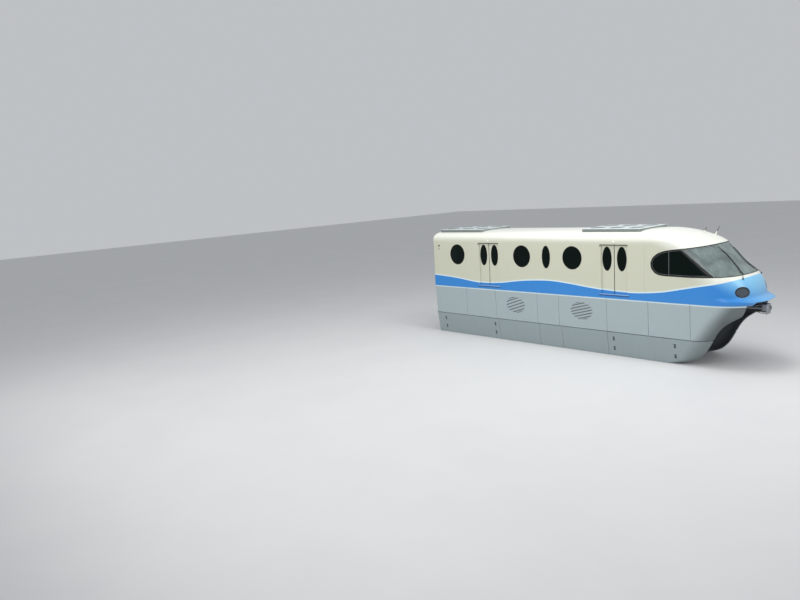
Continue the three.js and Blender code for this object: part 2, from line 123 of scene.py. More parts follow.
def makePiece(name, parts, material, slot, body="carbody", replaces=(), thickness=0, openSheet=False, sharp=38):
    # a thickness gives open sheets an inner face; edges bent by more than sharp degrees stay hard
    parts = [facingOut(p) for p in parts] if openSheet or thickness else parts
    faces, start = [], 0
    for v, f in parts:
        faces += (f + start).tolist()
        start += len(v)
    mesh = newMesh(name, np.concatenate([p[0] for p in parts]), faces)
    bm = bmesh.new()
    bm.from_mesh(mesh)
    bmesh.ops.remove_doubles(bm, verts=bm.verts, dist=tolerance["merge"])
    bmesh.ops.dissolve_degenerate(bm, dist=tolerance["degenerate"], edges=bm.edges)
    if not (openSheet or thickness):
        bmesh.ops.recalc_face_normals(bm, faces=bm.faces)
    bm.to_mesh(mesh)
    bm.free()
    piece = linked(name, mesh)
    if thickness:
        wall = piece.modifiers.new("wall", "SOLIDIFY")
        wall.thickness, wall.offset, wall.use_even_offset = thickness, -1, False
        piece.data = applied(piece)
    piece.data.shade_smooth()
    piece.data.set_sharp_from_angle(angle=math.radians(sharp))
    piece.data.materials.clear()
    piece.data.materials.append(material)
    if body:
        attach(piece, body)
    if replaces:
        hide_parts(*replaces)
    return piece


def sidePieces(name, parts, material, slot, node=None, **settings):
    # one piece on each side from parts drawn on the right; node starts the name of the CAD node that it replaces
    return [makePiece(name + label, onSide(parts, sign), material, slot,
                      replaces=[f"{node}_{label.lower()}"] if node else (), **settings)
            for label, sign in sides.items()]


def unitVector(v):
    return v / np.linalg.norm(v, axis=-1, keepdims=True)


def capped(rings):
    # rings of points closed at both ends by a fan to the middle
    ends = [np.repeat(rings[k].mean(0)[None, None], rings.shape[1], 1) for k in (0, -1)]
    return np.concatenate([ends[0], rings, ends[1]])


def carried(path, up, profile, closedPath=False):
    # a closed flat profile (across, out) carried along a path; up is the outward direction at each point
    path, up = np.asarray(path, float), np.broadcast_to(np.asarray(up, float), np.shape(path))
    ahead = unitVector(np.roll(path, -1, 0) - np.roll(path, 1, 0) if closedPath else np.gradient(path, axis=0))
    across = unitVector(np.cross(ahead, up))
    out = np.cross(across, ahead)
    profile = np.asarray(profile, float)
    rings = path[:, None] + across[:, None] * profile[:, 0, None] + out[:, None] * profile[:, 1, None]
    return sheet(np.concatenate([rings, rings[:1]]) if closedPath else capped(rings), True)


def around(count):
    # the angles of count points once round
    return np.arange(count) * 2 * np.pi / count


def circle(radius, count=12):
    a = around(count)
    return np.stack([radius * np.cos(a), radius * np.sin(a)], 1)


def oval(across, out, count=10):
    return circle(1, count) * [across, out]


def tube(path, radius, count=12, up=(0, 0, 1)):
    return carried(path, up, circle(radius, count))


def rounded(points, radius, steps=5):
    # a line through points with its corners rounded
    points = np.asarray(points, float)
    line = [points[:1]]
    for a, b, c in zip(points[:-2], points[1:-1], points[2:]):
        p = b + (a - b) * min(0.5, radius / np.linalg.norm(a - b))
        q = b + (c - b) * min(0.5, radius / np.linalg.norm(c - b))
        t = np.linspace(0, 1, steps)[:, None]
        line.append(p * (1 - t) ** 2 + 2 * b * t * (1 - t) + q * t ** 2)
    return np.concatenate([*line, points[-1:]])


def turned(profile, centre=(0, 0, 0), axis="z", count=32):
    # a closed profile of (radius, height) turned about an axis
    profile = np.asarray(profile, float)
    a = around(count)
    r, h = profile[:, 0, None], np.repeat(profile[:, 1, None], count, 1)
    p, q = r * np.cos(a), r * np.sin(a)
    order = {"z": (p, q, h), "y": (q, h, p), "x": (h, p, q)}[axis]
    return sheet(np.stack(order, -1) + np.asarray(centre, float), True)


def roundBox(low, high, radius, steps=3):
    # a box whose surface is a small ball's surface pulled apart at its quarters
    low, high = np.asarray(low, float), np.asarray(high, float)
    radius = min(radius, *((high - low) / 2.001))
    quarter = np.linspace(0, np.pi / 2, steps + 1)
    lon = np.concatenate([quarter + k * np.pi / 2 for k in range(4)])
    lat = np.concatenate([quarter - np.pi / 2, quarter])[:, None]
    sx, sy, sz = (np.repeat(s, steps + 1) for s in ([1, -1, -1, 1], [1, 1, -1, -1], [-1, 1]))
    core = (high - low) / 2 - radius
    x = core[0] * sx + radius * np.cos(lat) * np.cos(lon)
    y = core[1] * sy + radius * np.cos(lat) * np.sin(lon)
    z = np.repeat(core[2] * sz[:, None] + radius * np.sin(lat), len(lon), 1)
    return sheet(capped(np.stack([x, y, z], -1) + (low + high) / 2), True)


def block(x, half, ys, zs, radius, steps=3):
    # a round box that reaches half to each side of x
    return roundBox([x - half, ys[0], zs[0]], [x + half, ys[1], zs[1]], radius, steps)


def bent(v, power):
    return np.sign(v) * np.abs(v) ** power


def cushion(low, high, rows=14, cols=36):
    # a crowned closed pad: a ball whose sines and cosines are raised to powers below 1
    lat = np.linspace(-np.pi / 2, np.pi / 2, rows)[:, None]
    lon = around(cols)
    flat, square = 0.35, 0.245
    x = bent(np.cos(lat), flat) * bent(np.cos(lon), square)
    y = bent(np.cos(lat), flat) * bent(np.sin(lon), square)
    z = np.repeat(bent(np.sin(lat), 0.8), cols, 1)
    return sheet(np.stack([x, y, z], -1) * (high - low) / 2 + (low + high) / 2, True)


def panel(surface, us, vs, holes=(), gone=None, rings=3):
    # surface(u, v) over a grid; a hole gives up a block of cells, and rings run in from the block to its outline
    us, vs = np.asarray(us, float), np.asarray(vs, float)
    rows, cols = len(vs), len(us)
    uu, vv = np.meshgrid(us, vs)
    verts, faces = [surface(uu, vv).reshape(-1, 3)], []
    keep = np.ones((rows - 1, cols - 1), bool)
    if gone is not None:
        keep &= ~gone((us[1:] + us[:-1])[None] / 2, (vs[1:] + vs[:-1])[:, None] / 2)
    count = rows * cols
    for hole in holes:
        i0, i1 = np.abs(us - hole["u"][0]).argmin(), np.abs(us - hole["u"][1]).argmin()
        j0, j1 = np.abs(vs - hole["v"][0]).argmin(), np.abs(vs - hole["v"][1]).argmin()
        keep[j0:j1, i0:i1] = False
        if "outline" not in hole:
            continue
        i = np.concatenate([np.arange(i0, i1), np.full(j1 - j0, i1), np.arange(i1, i0, -1), np.full(j1 - j0, i0)])
        j = np.concatenate([np.full(i1 - i0, j0), np.arange(j0, j1), np.full(i1 - i0, j1), np.arange(j1, j0, -1)])
        ub, vb = us[i], vs[j]
        (uc, vc), (hu, hv) = hole["centre"], hole["half"]
        ui, vi = hole["outline"](np.arctan2((vb - vc) / hv, (ub - uc) / hu))
        t = (np.arange(1, rings + 1) / rings)[:, None]
        verts.append(surface(ub + (ui - ub) * t, vb + (vi - vb) * t).reshape(-1, 3))
        loops = np.concatenate([(j * cols + i)[None], count + np.arange(rings * len(i)).reshape(rings, -1)])
        count += rings * len(i)
        nxt = np.roll(loops, -1, 1)
        faces.append(np.stack([loops[:-1], nxt[:-1], nxt[1:], loops[1:]], -1).reshape(-1, 4))
    faces.append(gridFaces(rows, cols)[keep.ravel()])
    return np.concatenate(verts), np.concatenate(faces)


def lines(*marks, step=0.06):
    # grid lines through every mark, filled in between so that none is wider apart than step
    marks = sorted(set(np.round(marks, 5)))
    runs = [np.linspace(a, b, max(2, math.ceil((b - a) / step) + 1))[:-1] for a, b in zip(marks[:-1], marks[1:])]
    return np.concatenate([*runs, [marks[-1]]])


def stud(radius, shoulder, top, height, axis="z", count=6):
    # a head that is straight up to its shoulder and narrows to its top
    return turned([[0, 0], [radius, 0], [radius, shoulder], [top, height], [0, height]], axis=axis, count=count)


def bolt(axis, radius, height):
    return stud(radius, height * 0.7, radius * 0.8, height, axis)


def boltRing(radius, height, count, axis):
    # places round an axis, at a height along it
    p, q = circle(radius, count).T
    h = np.full(count, height)
    return np.stack({"y": (p, h, q), "z": (p, q, h)}[axis], 1)


# ---- materials ----
class NodeSheet:
    def __init__(self, tree):
        self.tree = tree

    def put(self, socket, value):
        if isinstance(value, bpy.types.NodeSocket):
            self.tree.links.new(value, socket)
        else:
            socket.default_value = value

    def add(self, kind, inputs=None, **settings):
        node = self.tree.nodes.new("ShaderNode" + kind)
        for key, value in settings.items():
            setattr(node, key, value)
        for key, value in (inputs or {}).items():
            self.put(node.inputs[key], value)
        return node

    def calc(self, operation, a, b, clamp=False):
        return self.add("Math", {0: a, 1: b}, operation=operation, use_clamp=clamp).outputs[0]

    def plus(self, a, b, clamp=False):
        return self.calc("ADD", a, b, clamp)

    def times(self, a, b, clamp=False):
        return self.calc("MULTIPLY", a, b, clamp)

    def mix(self, share, a, b):
        return self.add("Mix", {0: share, 6: a, 7: b}, data_type="RGBA").outputs[2]

    def span(self, value, low, high, toLow=0.0, toHigh=1.0, soft=False):
        # a value between low and high moved to between toLow and toHigh
        inputs = {0: value, 1: low, 2: high, 3: toLow, 4: toHigh}
        return self.add("MapRange", inputs, interpolation_type="SMOOTHSTEP" if soft else "LINEAR").outputs[0]

    def place(self, scale=(1, 1, 1)):
        return self.add("Mapping", {"Vector": self.add("TexCoord").outputs["Object"], "Scale": scale}).outputs[0]

    def xyz(self):
        return self.add("SeparateXYZ", {0: self.place()}).outputs

    def noise(self, size, scale=(1, 1, 1), detail=4.0, roughness=0.55):
        inputs = {"Vector": self.place(scale), "Scale": size, "Detail": detail, "Roughness": roughness}
        return self.add("TexNoise", inputs).outputs["Fac"]


def newGroup(name, inputs, outputs):
    # inputs by name: a tuple is a colour and a number is a float
    tree = bpy.data.node_groups.new(name, "ShaderNodeTree")
    for label, value in inputs.items():
        kind = "NodeSocketColor" if isinstance(value, tuple) else "NodeSocketFloat"
        tree.interface.new_socket(label, in_out="INPUT", socket_type=kind).default_value = value
    for label in outputs:
        kind = "NodeSocketColor" if label == "Color" else "NodeSocketFloat"
        tree.interface.new_socket(label, in_out="OUTPUT", socket_type=kind)
    n = NodeSheet(tree)
    n.given = tree.nodes.new("NodeGroupInput").outputs
    n.result = tree.nodes.new("NodeGroupOutput").inputs
    return n


def linear(r, g, b):
    # a colour of 0 to 255 steps on the screen as the shader's own numbers
    values = [((v / 255 + 0.055) / 1.055) ** 2.4 if v > 10 else v / 3295 for v in (r, g, b)]
    return (*values, 1.0)


# Road dirt: cloudy patches, streaks that run down, and dust that gathers below a height
g = newGroup("roadDirt", {"Color": (0.5, 0.5, 0.5, 1), "Dirt Color": (0.1, 0.09, 0.08, 1), "Amount": 0.2,
                          "Low Z": -1.4, "High Z": 0.4, "Gloss": 0.35}, ["Color", "Roughness", "Height"])
dust = g.span(g.xyz()[2], g.given["Low Z"], g.given["High Z"], 1.0, 0.0, soft=True)
streaks = g.span(g.noise(7, (1, 1, 0.09), 5), 0.45, 0.75)
clouds = g.span(g.noise(1.3, detail=6), 0.4, 0.75)
share = g.times(g.plus(g.times(dust, 0.55), g.times(streaks, 0.35)), g.given["Amount"])
share = g.plus(share, g.times(clouds, g.times(g.given["Amount"], 0.25)), clamp=True)
g.put(g.result["Color"], g.mix(share, g.given["Color"], g.given["Dirt Color"]))
rough = g.plus(g.given["Gloss"], g.times(share, 0.45))
g.put(g.result["Roughness"], g.plus(rough, g.times(g.span(g.noise(60), 0.3, 0.7), 0.05), clamp=True))
g.put(g.result["Height"], g.plus(g.noise(2.2, detail=1.0), g.times(g.noise(420, detail=1.0), 0.02)))

# Grain: fine pits and specks for moulded, cast and rubber surfaces
g = newGroup("grain", {"Color": (0.1, 0.1, 0.1, 1), "Worn Color": (0.3, 0.3, 0.3, 1), "Size": 200.0, "Wear": 0.3,
                       "Gloss": 0.5}, ["Color", "Roughness", "Height"])
speck = g.add("TexNoise", {"Vector": g.place(), "Scale": g.given["Size"], "Detail": 3.0}).outputs["Fac"]
patch = g.span(g.noise(3.5, detail=7, roughness=0.65), 0.42, 0.72)
rub = g.times(g.times(patch, g.span(speck, 0.35, 0.7)), g.given["Wear"], clamp=True)
g.put(g.result["Color"], g.mix(rub, g.given["Color"], g.given["Worn Color"]))
g.put(g.result["Roughness"], g.plus(g.given["Gloss"], g.times(patch, 0.18), clamp=True))
g.put(g.result["Height"], speck)

# Weave: two crossed rows of threads with specks of lighter yarn
g = newGroup("weave", {"Color": (0.1, 0.2, 0.4, 1), "Yarn Color": (0.3, 0.4, 0.6, 1), "Threads": 300.0},
             ["Color", "Height"])
warp, weft = (g.add("TexWave", {"Vector": g.place(), "Scale": g.given["Threads"]}, bands_direction=way).outputs["Fac"]
              for way in "XY")
cross = g.times(warp, weft)
fleck = g.span(g.noise(90, detail=2), 0.55, 0.62)
g.put(g.result["Color"], g.mix(g.times(g.plus(fleck, cross), 0.5), g.given["Color"], g.given["Yarn Color"]))
g.put(g.result["Height"], cross)


def newMaterial(name, bump=0.0, distance=0.001, **sockets):
    material = bpy.data.materials.new(name)
    material.use_nodes = True
    n = NodeSheet(material.node_tree)
    n.shader = material.node_tree.nodes["Principled BSDF"]
    for key, value in sockets.items():
        n.put(n.shader.inputs[key.replace("_", " ")], value)
    n.material, n.bump, n.distance = material, bump, distance
    return n


def useGroup(n, group, **values):
    node = n.add("Group")
    node.node_tree = bpy.data.node_groups[group]
    for key, value in values.items():
        n.put(node.inputs[key.replace("_", " ")], value)
    n.put(n.shader.inputs["Base Color"], node.outputs["Color"])
    if "Roughness" in node.outputs:
        n.put(n.shader.inputs["Roughness"], node.outputs["Roughness"])
    bump = n.add("Bump", {"Strength": n.bump, "Distance": n.distance, "Height": node.outputs["Height"]})
    n.put(n.shader.inputs["Normal"], bump.outputs[0])
    return n.material


dirtBrown = linear(92, 88, 80)
paint = {"cream": linear(204, 204, 184), "roof": linear(236, 237, 226), "blue": linear(40, 132, 210),
         "reflectionBlue": linear(132, 200, 240), "line": linear(218, 238, 242)}
# the blue band: its lower edge, how soft its edges are, the pale line over it, and (x, z) points of its top
stripe = {"bottom": 0.925, "edge": 0.004, "lineWidth": 0.05, "rear": -7.0, "length": 15.7, "tallest": 2.2,
          "top": [(-6.9, 1.454), (-5.4, 1.36), (-3.87, 1.206), (-3.24, 1.206), (-2.63, 1.252), (-1.45, 1.401),
                  (-0.61, 1.466), (0.2, 1.485), (1.22, 1.408), (2.19, 1.302), (3.12, 1.225), (4.0, 1.2), (4.64, 1.229),
                  (5.26, 1.292), (6.05, 1.444), (6.81, 1.6), (7.4, 1.715), (7.75, 1.8), (8.1, 1.895), (8.44, 2.0)]}

# Body paint: a cream side, a whiter roof and nose, and a blue band whose top runs in waves; towards the front of the
# nose the blue turns pale, a painted reflection
n = newMaterial("bodyPaint", bump=0.05, distance=0.004, Coat_Weight=0.5, Coat_Roughness=0.12, IOR=1.45)
x, _, z = n.xyz()
curve = n.add("FloatCurve", {"Value": n.span(x, stripe["rear"], stripe["rear"] + stripe["length"])})
points = curve.mapping.curves[0].points
for k, (px, pz) in enumerate(stripe["top"]):
    where = ((px - stripe["rear"]) / stripe["length"], pz / stripe["tallest"])
    if k < 2:
        points[k].location = where
    else:
        points.new(*where)
curve.mapping.update()
over = n.calc("SUBTRACT", n.times(curve.outputs[0], stripe["tallest"]), z)
edge, lineWidth = stripe["edge"], stripe["lineWidth"]
isBlue = n.times(n.span(over, -edge, edge, soft=True),
                 n.span(z, stripe["bottom"] - edge, stripe["bottom"] + edge, soft=True))
isLine = n.span(over, -lineWidth - 0.01, -lineWidth)
isRoof = n.span(n.plus(z, n.times(n.span(x, 4.9, 6.6), 0.5)), 3.05, 3.5, soft=True)
ground = n.mix(isRoof, paint["cream"], paint["roof"])
ground = n.mix(n.times(isLine, 0.9), ground, paint["line"])
ground = n.mix(n.span(n.plus(x, z), 8.2, 9.4, soft=True), ground, paint["roof"])
# painted reflection: the blue turns paler up and forward on the nose's front
pale = n.span(n.plus(x, n.times(z, 1.6)), 9.7, 11.0, soft=True)
blue = n.mix(pale, paint["blue"], paint["reflectionBlue"])
bodyPaint = useGroup(n, "roadDirt", Color=n.mix(isBlue, ground, blue), Dirt_Color=dirtBrown, Amount=0.05, Gloss=0.3,
                     Low_Z=0.9, High_Z=1.6)
metalCoat = {"bump": 0.06, "distance": 0.004, "Coat_Weight": 0.25, "Coat_Roughness": 0.25}


def paintedMetal(name, colour, amount, gloss, **more):
    n = newMaterial(name, **metalCoat)
    return useGroup(n, "roadDirt", Color=linear(*colour), Dirt_Color=dirtBrown, Amount=amount, Gloss=gloss, **more)


def skirtPaint(name, colour, amount, gloss, frontShadeAndGrime, edge=None):
    # grey paint that darkens towards the raked front edge, partly grime and partly painted shade where the skirt bends
    # away from the light, with a pale line above the height edge
    n = newMaterial(name, **metalCoat)
    x, _, z = n.xyz()
    # the darkening at the front is partly grime and partly painted shade of the skirt's bend
    front = n.span(n.calc("SUBTRACT", x, n.times(z, 0.75)), 6.7, 7.35, 0.0, frontShadeAndGrime, soft=True)
    colour = n.mix(front, linear(*colour), linear(52, 56, 58))
    if edge:
        colour = n.mix(n.span(z, edge, edge + 0.004, 0.0, 0.75), colour, paint["line"])
    return useGroup(n, "roadDirt", Color=colour, Dirt_Color=dirtBrown, Amount=amount, Gloss=gloss)


upperGrey = skirtPaint("upperGrey", (164, 177, 180), 0.08, 0.36, 0.74, 0.872)
lowerGrey = skirtPaint("lowerGrey", (148, 161, 164), 0.14, 0.4, 0.34)
unitGrey = paintedMetal("unitGrey", (133, 140, 137), 0.2, 0.5, Low_Z=3.4, High_Z=3.7)
# painted highlight: the lids are a lighter copy of the units' grey, standing for the daylight on their tops
litUnitTop = paintedMetal("litUnitTop", (202, 211, 214), 0.15, 0.5, Low_Z=3.4, High_Z=3.9)
lineBlue = paintedMetal("lineBlue", (26, 66, 128), 0.2, 0.45)
sillBlue = paintedMetal("sillBlue", (128, 176, 226), 0.15, 0.4)
lampWhite = paintedMetal("lampWhite", (240, 242, 240), 0.05, 0.3)
innerGrey = paintedMetal("innerGrey", (128, 134, 140), 0.3, 0.55)


def grained(name, colour, worn, size, wear, gloss, distance=0.0006, **sockets):
    n = newMaterial(name, bump=0.15, distance=distance, **sockets)
    return useGroup(n, "grain", Color=linear(*colour), Worn_Color=linear(*worn), Size=size, Wear=wear, Gloss=gloss)


darkSteel = grained("darkSteel", (46, 48, 50), (96, 84, 72), 160, 0.5, 0.5)
couplerSteel = grained("couplerSteel", (158, 162, 168), (92, 86, 80), 110, 0.5, 0.4, Metallic=0.4)
castGrey = grained("castGrey", (112, 114, 116), (70, 64, 58), 120, 0.5, 0.45, Metallic=0.6)
brightMetal = grained("brightMetal", (186, 190, 194), (120, 118, 114), 300, 0.3, 0.25, Metallic=1.0)
aluminium = grained("aluminium", (150, 153, 156), (104, 98, 90), 90, 0.6, 0.42, Metallic=0.5)
gasketRubber = grained("gasketRubber", (24, 25, 27), (60, 60, 60), 400, 0.2, 0.55)
bellowsRubber = grained("bellowsRubber", (38, 40, 42), (78, 76, 72), 240, 0.4, 0.68)
tyreRubber = grained("tyreRubber", (32, 33, 34), (92, 88, 82), 220, 0.55, 0.75, distance=0.001)
blackTrim = grained("blackTrim", (20, 21, 22), (48, 48, 48), 350, 0.2, 0.35)
cabPlastic = grained("cabPlastic", (84, 88, 92), (120, 120, 120), 500, 0.25, 0.5)
lining = grained("lining", (206, 204, 196), (170, 166, 156), 400, 0.2, 0.45)
floorVinyl = grained("floorVinyl", (96, 104, 112), (140, 140, 136), 260, 0.5, 0.4)
lampBody = grained("lampBody", (128, 132, 134), (104, 106, 106), 30, 0.2, 0.3, Metallic=0.6)
lampBowl = grained("lampBowl", (92, 96, 98), (70, 72, 72), 40, 0.2, 0.4)

n = newMaterial("seatCloth", bump=0.4, distance=0.0008, Roughness=0.85, Sheen_Weight=0.4, Sheen_Roughness=0.5)
seatCloth = useGroup(n, "weave", Color=linear(40, 66, 112), Yarn_Color=linear(92, 120, 160), Threads=260.0)


def dimmed(colour, share):
    return (*(v * share for v in colour[:3]), 1)


def glass(name, colour, smear, transmission=1.0, reflectionDim=0.82, mirror=(1, 1, 1, 1), rearReflectionDim=1.0):
    # tinted glass with faint rain marks that change its roughness only; a cloud of darker patches over its tint is a
    # painted reflection, and the last setting darkens it towards its upper rear end as a painted dark reflection
    tint, gloss = linear(*colour), 0.03
    n = newMaterial(name, Transmission_Weight=transmission, IOR=1.5, Base_Color=tint, Specular_Tint=mirror)
    n.put(n.shader.inputs["Roughness"], n.span(n.noise(4, (1, 1, 0.2), 5), 0.5, 0.8, gloss, gloss + smear))
    # painted reflection: noise patches of a darker tint
    reflectionCloud = n.mix(n.span(n.noise(2, detail=3), 0.3, 0.7), tint, dimmed(tint, reflectionDim))
    if rearReflectionDim < 1:
        x, _, z = n.xyz()
        # painted dark reflection towards the upper rear end of the glass
        ahead = n.span(n.plus(x, n.times(z, 0.6)), 7.8, 8.6, soft=True)
        reflectionCloud = n.mix(ahead, dimmed(tint, rearReflectionDim), reflectionCloud)
    n.put(n.shader.inputs["Base Color"], reflectionCloud)
    return n.material


windowGlass = glass("windowGlass", (14, 20, 19), 0.05, mirror=(0.35, 0.58, 0.5, 1))
# the windscreen's pale grey-green base, with only part of the light let through, is a painted reflection of the sky
# over its green tint
screenGlass = glass("screenGlass", (158, 176, 172), 0.05, transmission=0.4, reflectionDim=0.45, rearReflectionDim=0.4)
lampGlass = glass("lampGlass", (108, 120, 130), 0.03, transmission=0.55)

# The ceiling lamps glow, with faint clouds in their white
glowWhite = linear(255, 250, 236)
n = newMaterial("ceilingLight", Base_Color=glowWhite, Roughness=0.3, Emission_Strength=0.8)
n.put(n.shader.inputs["Emission Color"], n.mix(n.span(n.noise(30), 0.3, 0.7), glowWhite, (1, 1, 1, 1)))
ceilingLight = n.material
print("materials made")

# ---- the hull ----
# It follows the frame, except that the lip of the nose is drawn a little finer. The joint is half the gap where two
# shells meet, the eaves are the gap over the wall, and a lean is the change of half width in a metre of height.
hull = {"halfWidth": 1.49, "rearX": -6.96, "capX": -6.7, "cabX": 4.62, "bottomZ": -1.46, "divisionZ": -0.46,
        "beltZ": 0.92, "shoulderZ": 3.18, "crownZ": 3.63, "wallLean": 0.019, "upperLean": 0.023, "lowerLean": 0.125,
        "shoulderPower": 3.0, "frontPower": 2.4, "cornerR": 0.09, "rearRecess": 0.06, "joint": 0.0015, "eaves": 0.001}
# height, front on the centre line, start of the bend in the side
noseTable = np.array([
    [-1.46, 6.0, 5.3], [-1.4, 6.3, 5.55], [-1.27, 6.68, 5.9], [-0.98, 6.98, 6.15], [-0.61, 7.17, 6.38],
    [-0.46, 7.24, 6.42], [-0.15, 7.42, 6.5], [0.11, 7.66, 6.6], [0.35, 8.06, 6.72], [0.52, 8.44, 6.8], [0.7, 8.5, 6.85],
    [0.92, 8.56, 6.9], [1.01, 8.69, 6.9], [1.06, 8.72, 6.9], [1.11, 8.64, 6.9], [1.2, 8.43, 6.9], [1.3, 8.385, 6.9],
    [1.5, 8.355, 6.9], [1.7, 8.28, 6.88], [1.87, 8.185, 6.85], [2.005, 8.02, 6.8], [2.31, 7.66, 6.5],
    [2.71, 7.32, 6.15], [3.11, 6.9, 5.7], [3.18, 6.77, 5.6], [3.24, 6.62, 5.45], [3.32, 6.37, 5.25], [3.45, 5.95, 5.0],
    [3.55, 5.45, 4.75], [3.6, 5.08, 4.66], [3.63, 4.8, 4.64]])


def softLine(points, reach, step=0.008):
    # a line walked in short steps and rounded with a bell-shaped average; its ends stay
    walk = np.r_[0, np.cumsum(np.hypot(*np.diff(points, axis=0).T))]
    s = np.append(np.arange(0, walk[-1], step), walk[-1])
    line = np.stack([np.interp(s, walk, points[:, k]) for k in range(2)], 1)
    n = int(3 * reach / step)
    weights = np.exp(-0.5 * (np.arange(-n, n + 1) * step / reach) ** 2)
    spread = np.pad(line, ((n, n), (0, 0)), "reflect", reflect_type="odd")
    return np.stack([np.convolve(spread[:, k], weights / weights.sum(), "valid") for k in range(2)], 1)


# height against reach: the front in broad and in tight bends, and the start of the bend in the side
wideLine = softLine(noseTable[:, :2], 0.12)
tightLine = softLine(noseTable[:, :2], 0.018)
sideLine = softLine(noseTable[:, [0, 2]], 0.15)
lip = {"z": 1.1, "reach": 0.26, "blend": 0.1}


def frontAt(z):
    # the tight line holds near the lip, and the wide one elsewhere
    near = np.clip((lip["reach"] - np.abs(z - lip["z"])) / lip["blend"], 0, 1)
    return np.interp(z, *wideLine.T) * (1 - near) + np.interp(z, *tightLine.T) * near


def sideAt(z):
    return np.minimum(np.interp(z, *sideLine.T), frontAt(z) - 0.05)


def widthAt(z):
    z = np.asarray(z, float)
    belt = hull["halfWidth"] - hull["upperLean"] * (hull["beltZ"] - hull["divisionZ"])
    low = belt - hull["lowerLean"] * (hull["divisionZ"] - z)
    middle = hull["halfWidth"] - hull["upperLean"] * (hull["beltZ"] - z)
    high = hull["halfWidth"] - hull["wallLean"] * (z - hull["beltZ"])
    return np.where(z < hull["divisionZ"], low, np.where(z < hull["beltZ"], middle, high))


def bendX(z, share):
    # x at a share of the way from the start of the bend to the front
    return sideAt(z) + (frontAt(z) - sideAt(z)) * share


def superellipse(share, power):
    return (1 - share ** power) ** (1 / power)


def hullY(x, z, width=None):
    # half width at x and z: flat back to the start of the bend, then a superellipse to the front
    width = widthAt(z) if width is None else width
    share = np.clip((x - sideAt(z)) / (frontAt(z) - sideAt(z)), 0, 1)
    return width * superellipse(share, hull["frontPower"])


def archShare(z):
    # the share of the way from the shoulder up to the crown
    return ((z - hull["shoulderZ"]) / (hull["crownZ"] - hull["shoulderZ"])).clip(0, 1)


def roofArch(count):
    # height and half width of the roof's curve, from the shoulder to the crown
    a = np.linspace(0, np.pi / 2, count)
    power = 2 / hull["shoulderPower"]
    z = hull["shoulderZ"] + (hull["crownZ"] - hull["shoulderZ"]) * np.sin(a) ** power
    width = widthAt(z) * np.cos(a) ** power
    width[-1] = 0
    return z, width


def bisect(low, high, tooHigh, rounds=40):
    low, high = np.array(low, float), np.array(high, float)
    for _ in range(rounds):
        middle = (low + high) / 2
        over = tooHigh(middle)
        high, low = np.where(over, middle, high), np.where(over, low, middle)
    return (low + high) / 2


# ---- side walls ----
windows = {"z": 2.52, "halfHeight": 0.48, "slim": 0.41, "slimOffset": 0.33, "margin": 0.12, "gasket": 0.013,
           "glass": 0.006,  # the middle x and the width of each window follow
           "rows": {"window_rear": [(-5.28, 0.93)], "window_middle": [(-1.33, 0.93), (0.0, 0.41), (1.33, 0.93)]}}
doors = {"x": {"rear": -3.29, "front": 3.29}, "width": 1.19, "low": 1.07, "high": 3.07, "depth": 0.058, "leaf": 0.034,
         "lap": 0.03, "brush": 0.0495, "meeting": 0.0045, "floorGap": 0.0085, "edgeGap": 0.0005, "skin": 0.001,
         "holeBlock": (0.27, 0.55)}
doorXs = doors["x"].values()


def ovalHole(x, z, rx, rz, blockX, blockZ):
    # an oval with half axes rx and rz, in a block of cells that reaches blockX and blockZ from its middle
    return {"u": (x - blockX, x + blockX), "v": (z - blockZ, z + blockZ), "centre": (x, z), "half": (rx, rz),
            "outline": lambda a: (x + rx * np.cos(a), z + rz * np.sin(a))}


def wallAt(depth):
    return lambda x, z: np.stack([x, -(widthAt(z) - depth), z], -1)


def wallLine(x, low, high, depth, count):
    z = np.linspace(low, high, count)
    return wallAt(depth)(x + 0 * z, z)


def ovalPath(x, width, depth, count=96):
    a = around(count)
    return wallAt(depth)(x + width / 2 * np.cos(a), windows["z"] + windows["halfHeight"] * np.sin(a))


def ovalDisc(x, width, depth, bulge=0.004, rings=8, count=72):
    # a pane that swells out by bulge in its middle
    r = np.linspace(0, 1, rings)[:, None]
    a = around(count)
    z = windows["z"] + windows["halfHeight"] * r * np.sin(a)
    y = -(widthAt(z) - depth + bulge * (1 - r ** 2))
    return sheet(np.stack([x + width / 2 * r * np.cos(a), y, z], -1), True)


panes = [place for row in windows["rows"].values() for place in row]
holes = [ovalHole(x, windows["z"], w / 2, windows["halfHeight"], w / 2 + windows["margin"],
                  windows["halfHeight"] + windows["margin"]) for x, w in panes]
holes += [{"u": (x - doors["width"] / 2, x + doors["width"] / 2), "v": (doors["low"], doors["high"])} for x in doorXs]
wallX = (hull["capX"] + hull["joint"], hull["cabX"] - hull["joint"])
wallZ = (hull["beltZ"], hull["shoulderZ"] - hull["eaves"])
wall = panel(wallAt(0), lines(*wallX, *[v for h in holes for v in h["u"]]),
             lines(*wallZ, *[v for h in holes for v in h["v"]]), holes)
sidePieces("wall", [wall], bodyPaint, "cream_paint", "wall", thickness=0.046)
for node, row in windows["rows"].items():
    sidePieces("pane" + node[7:].capitalize(), [ovalDisc(x, w, 0.010) for x, w in row], windowGlass, "window_glass",
               node, thickness=windows["glass"])
beads = [carried(ovalPath(x, w, 0.0), sideOut, oval(windows["gasket"], 0.006), True) for x, w in panes]
sidePieces("gaskets", beads, gasketRubber, "rubber", sharp=80)
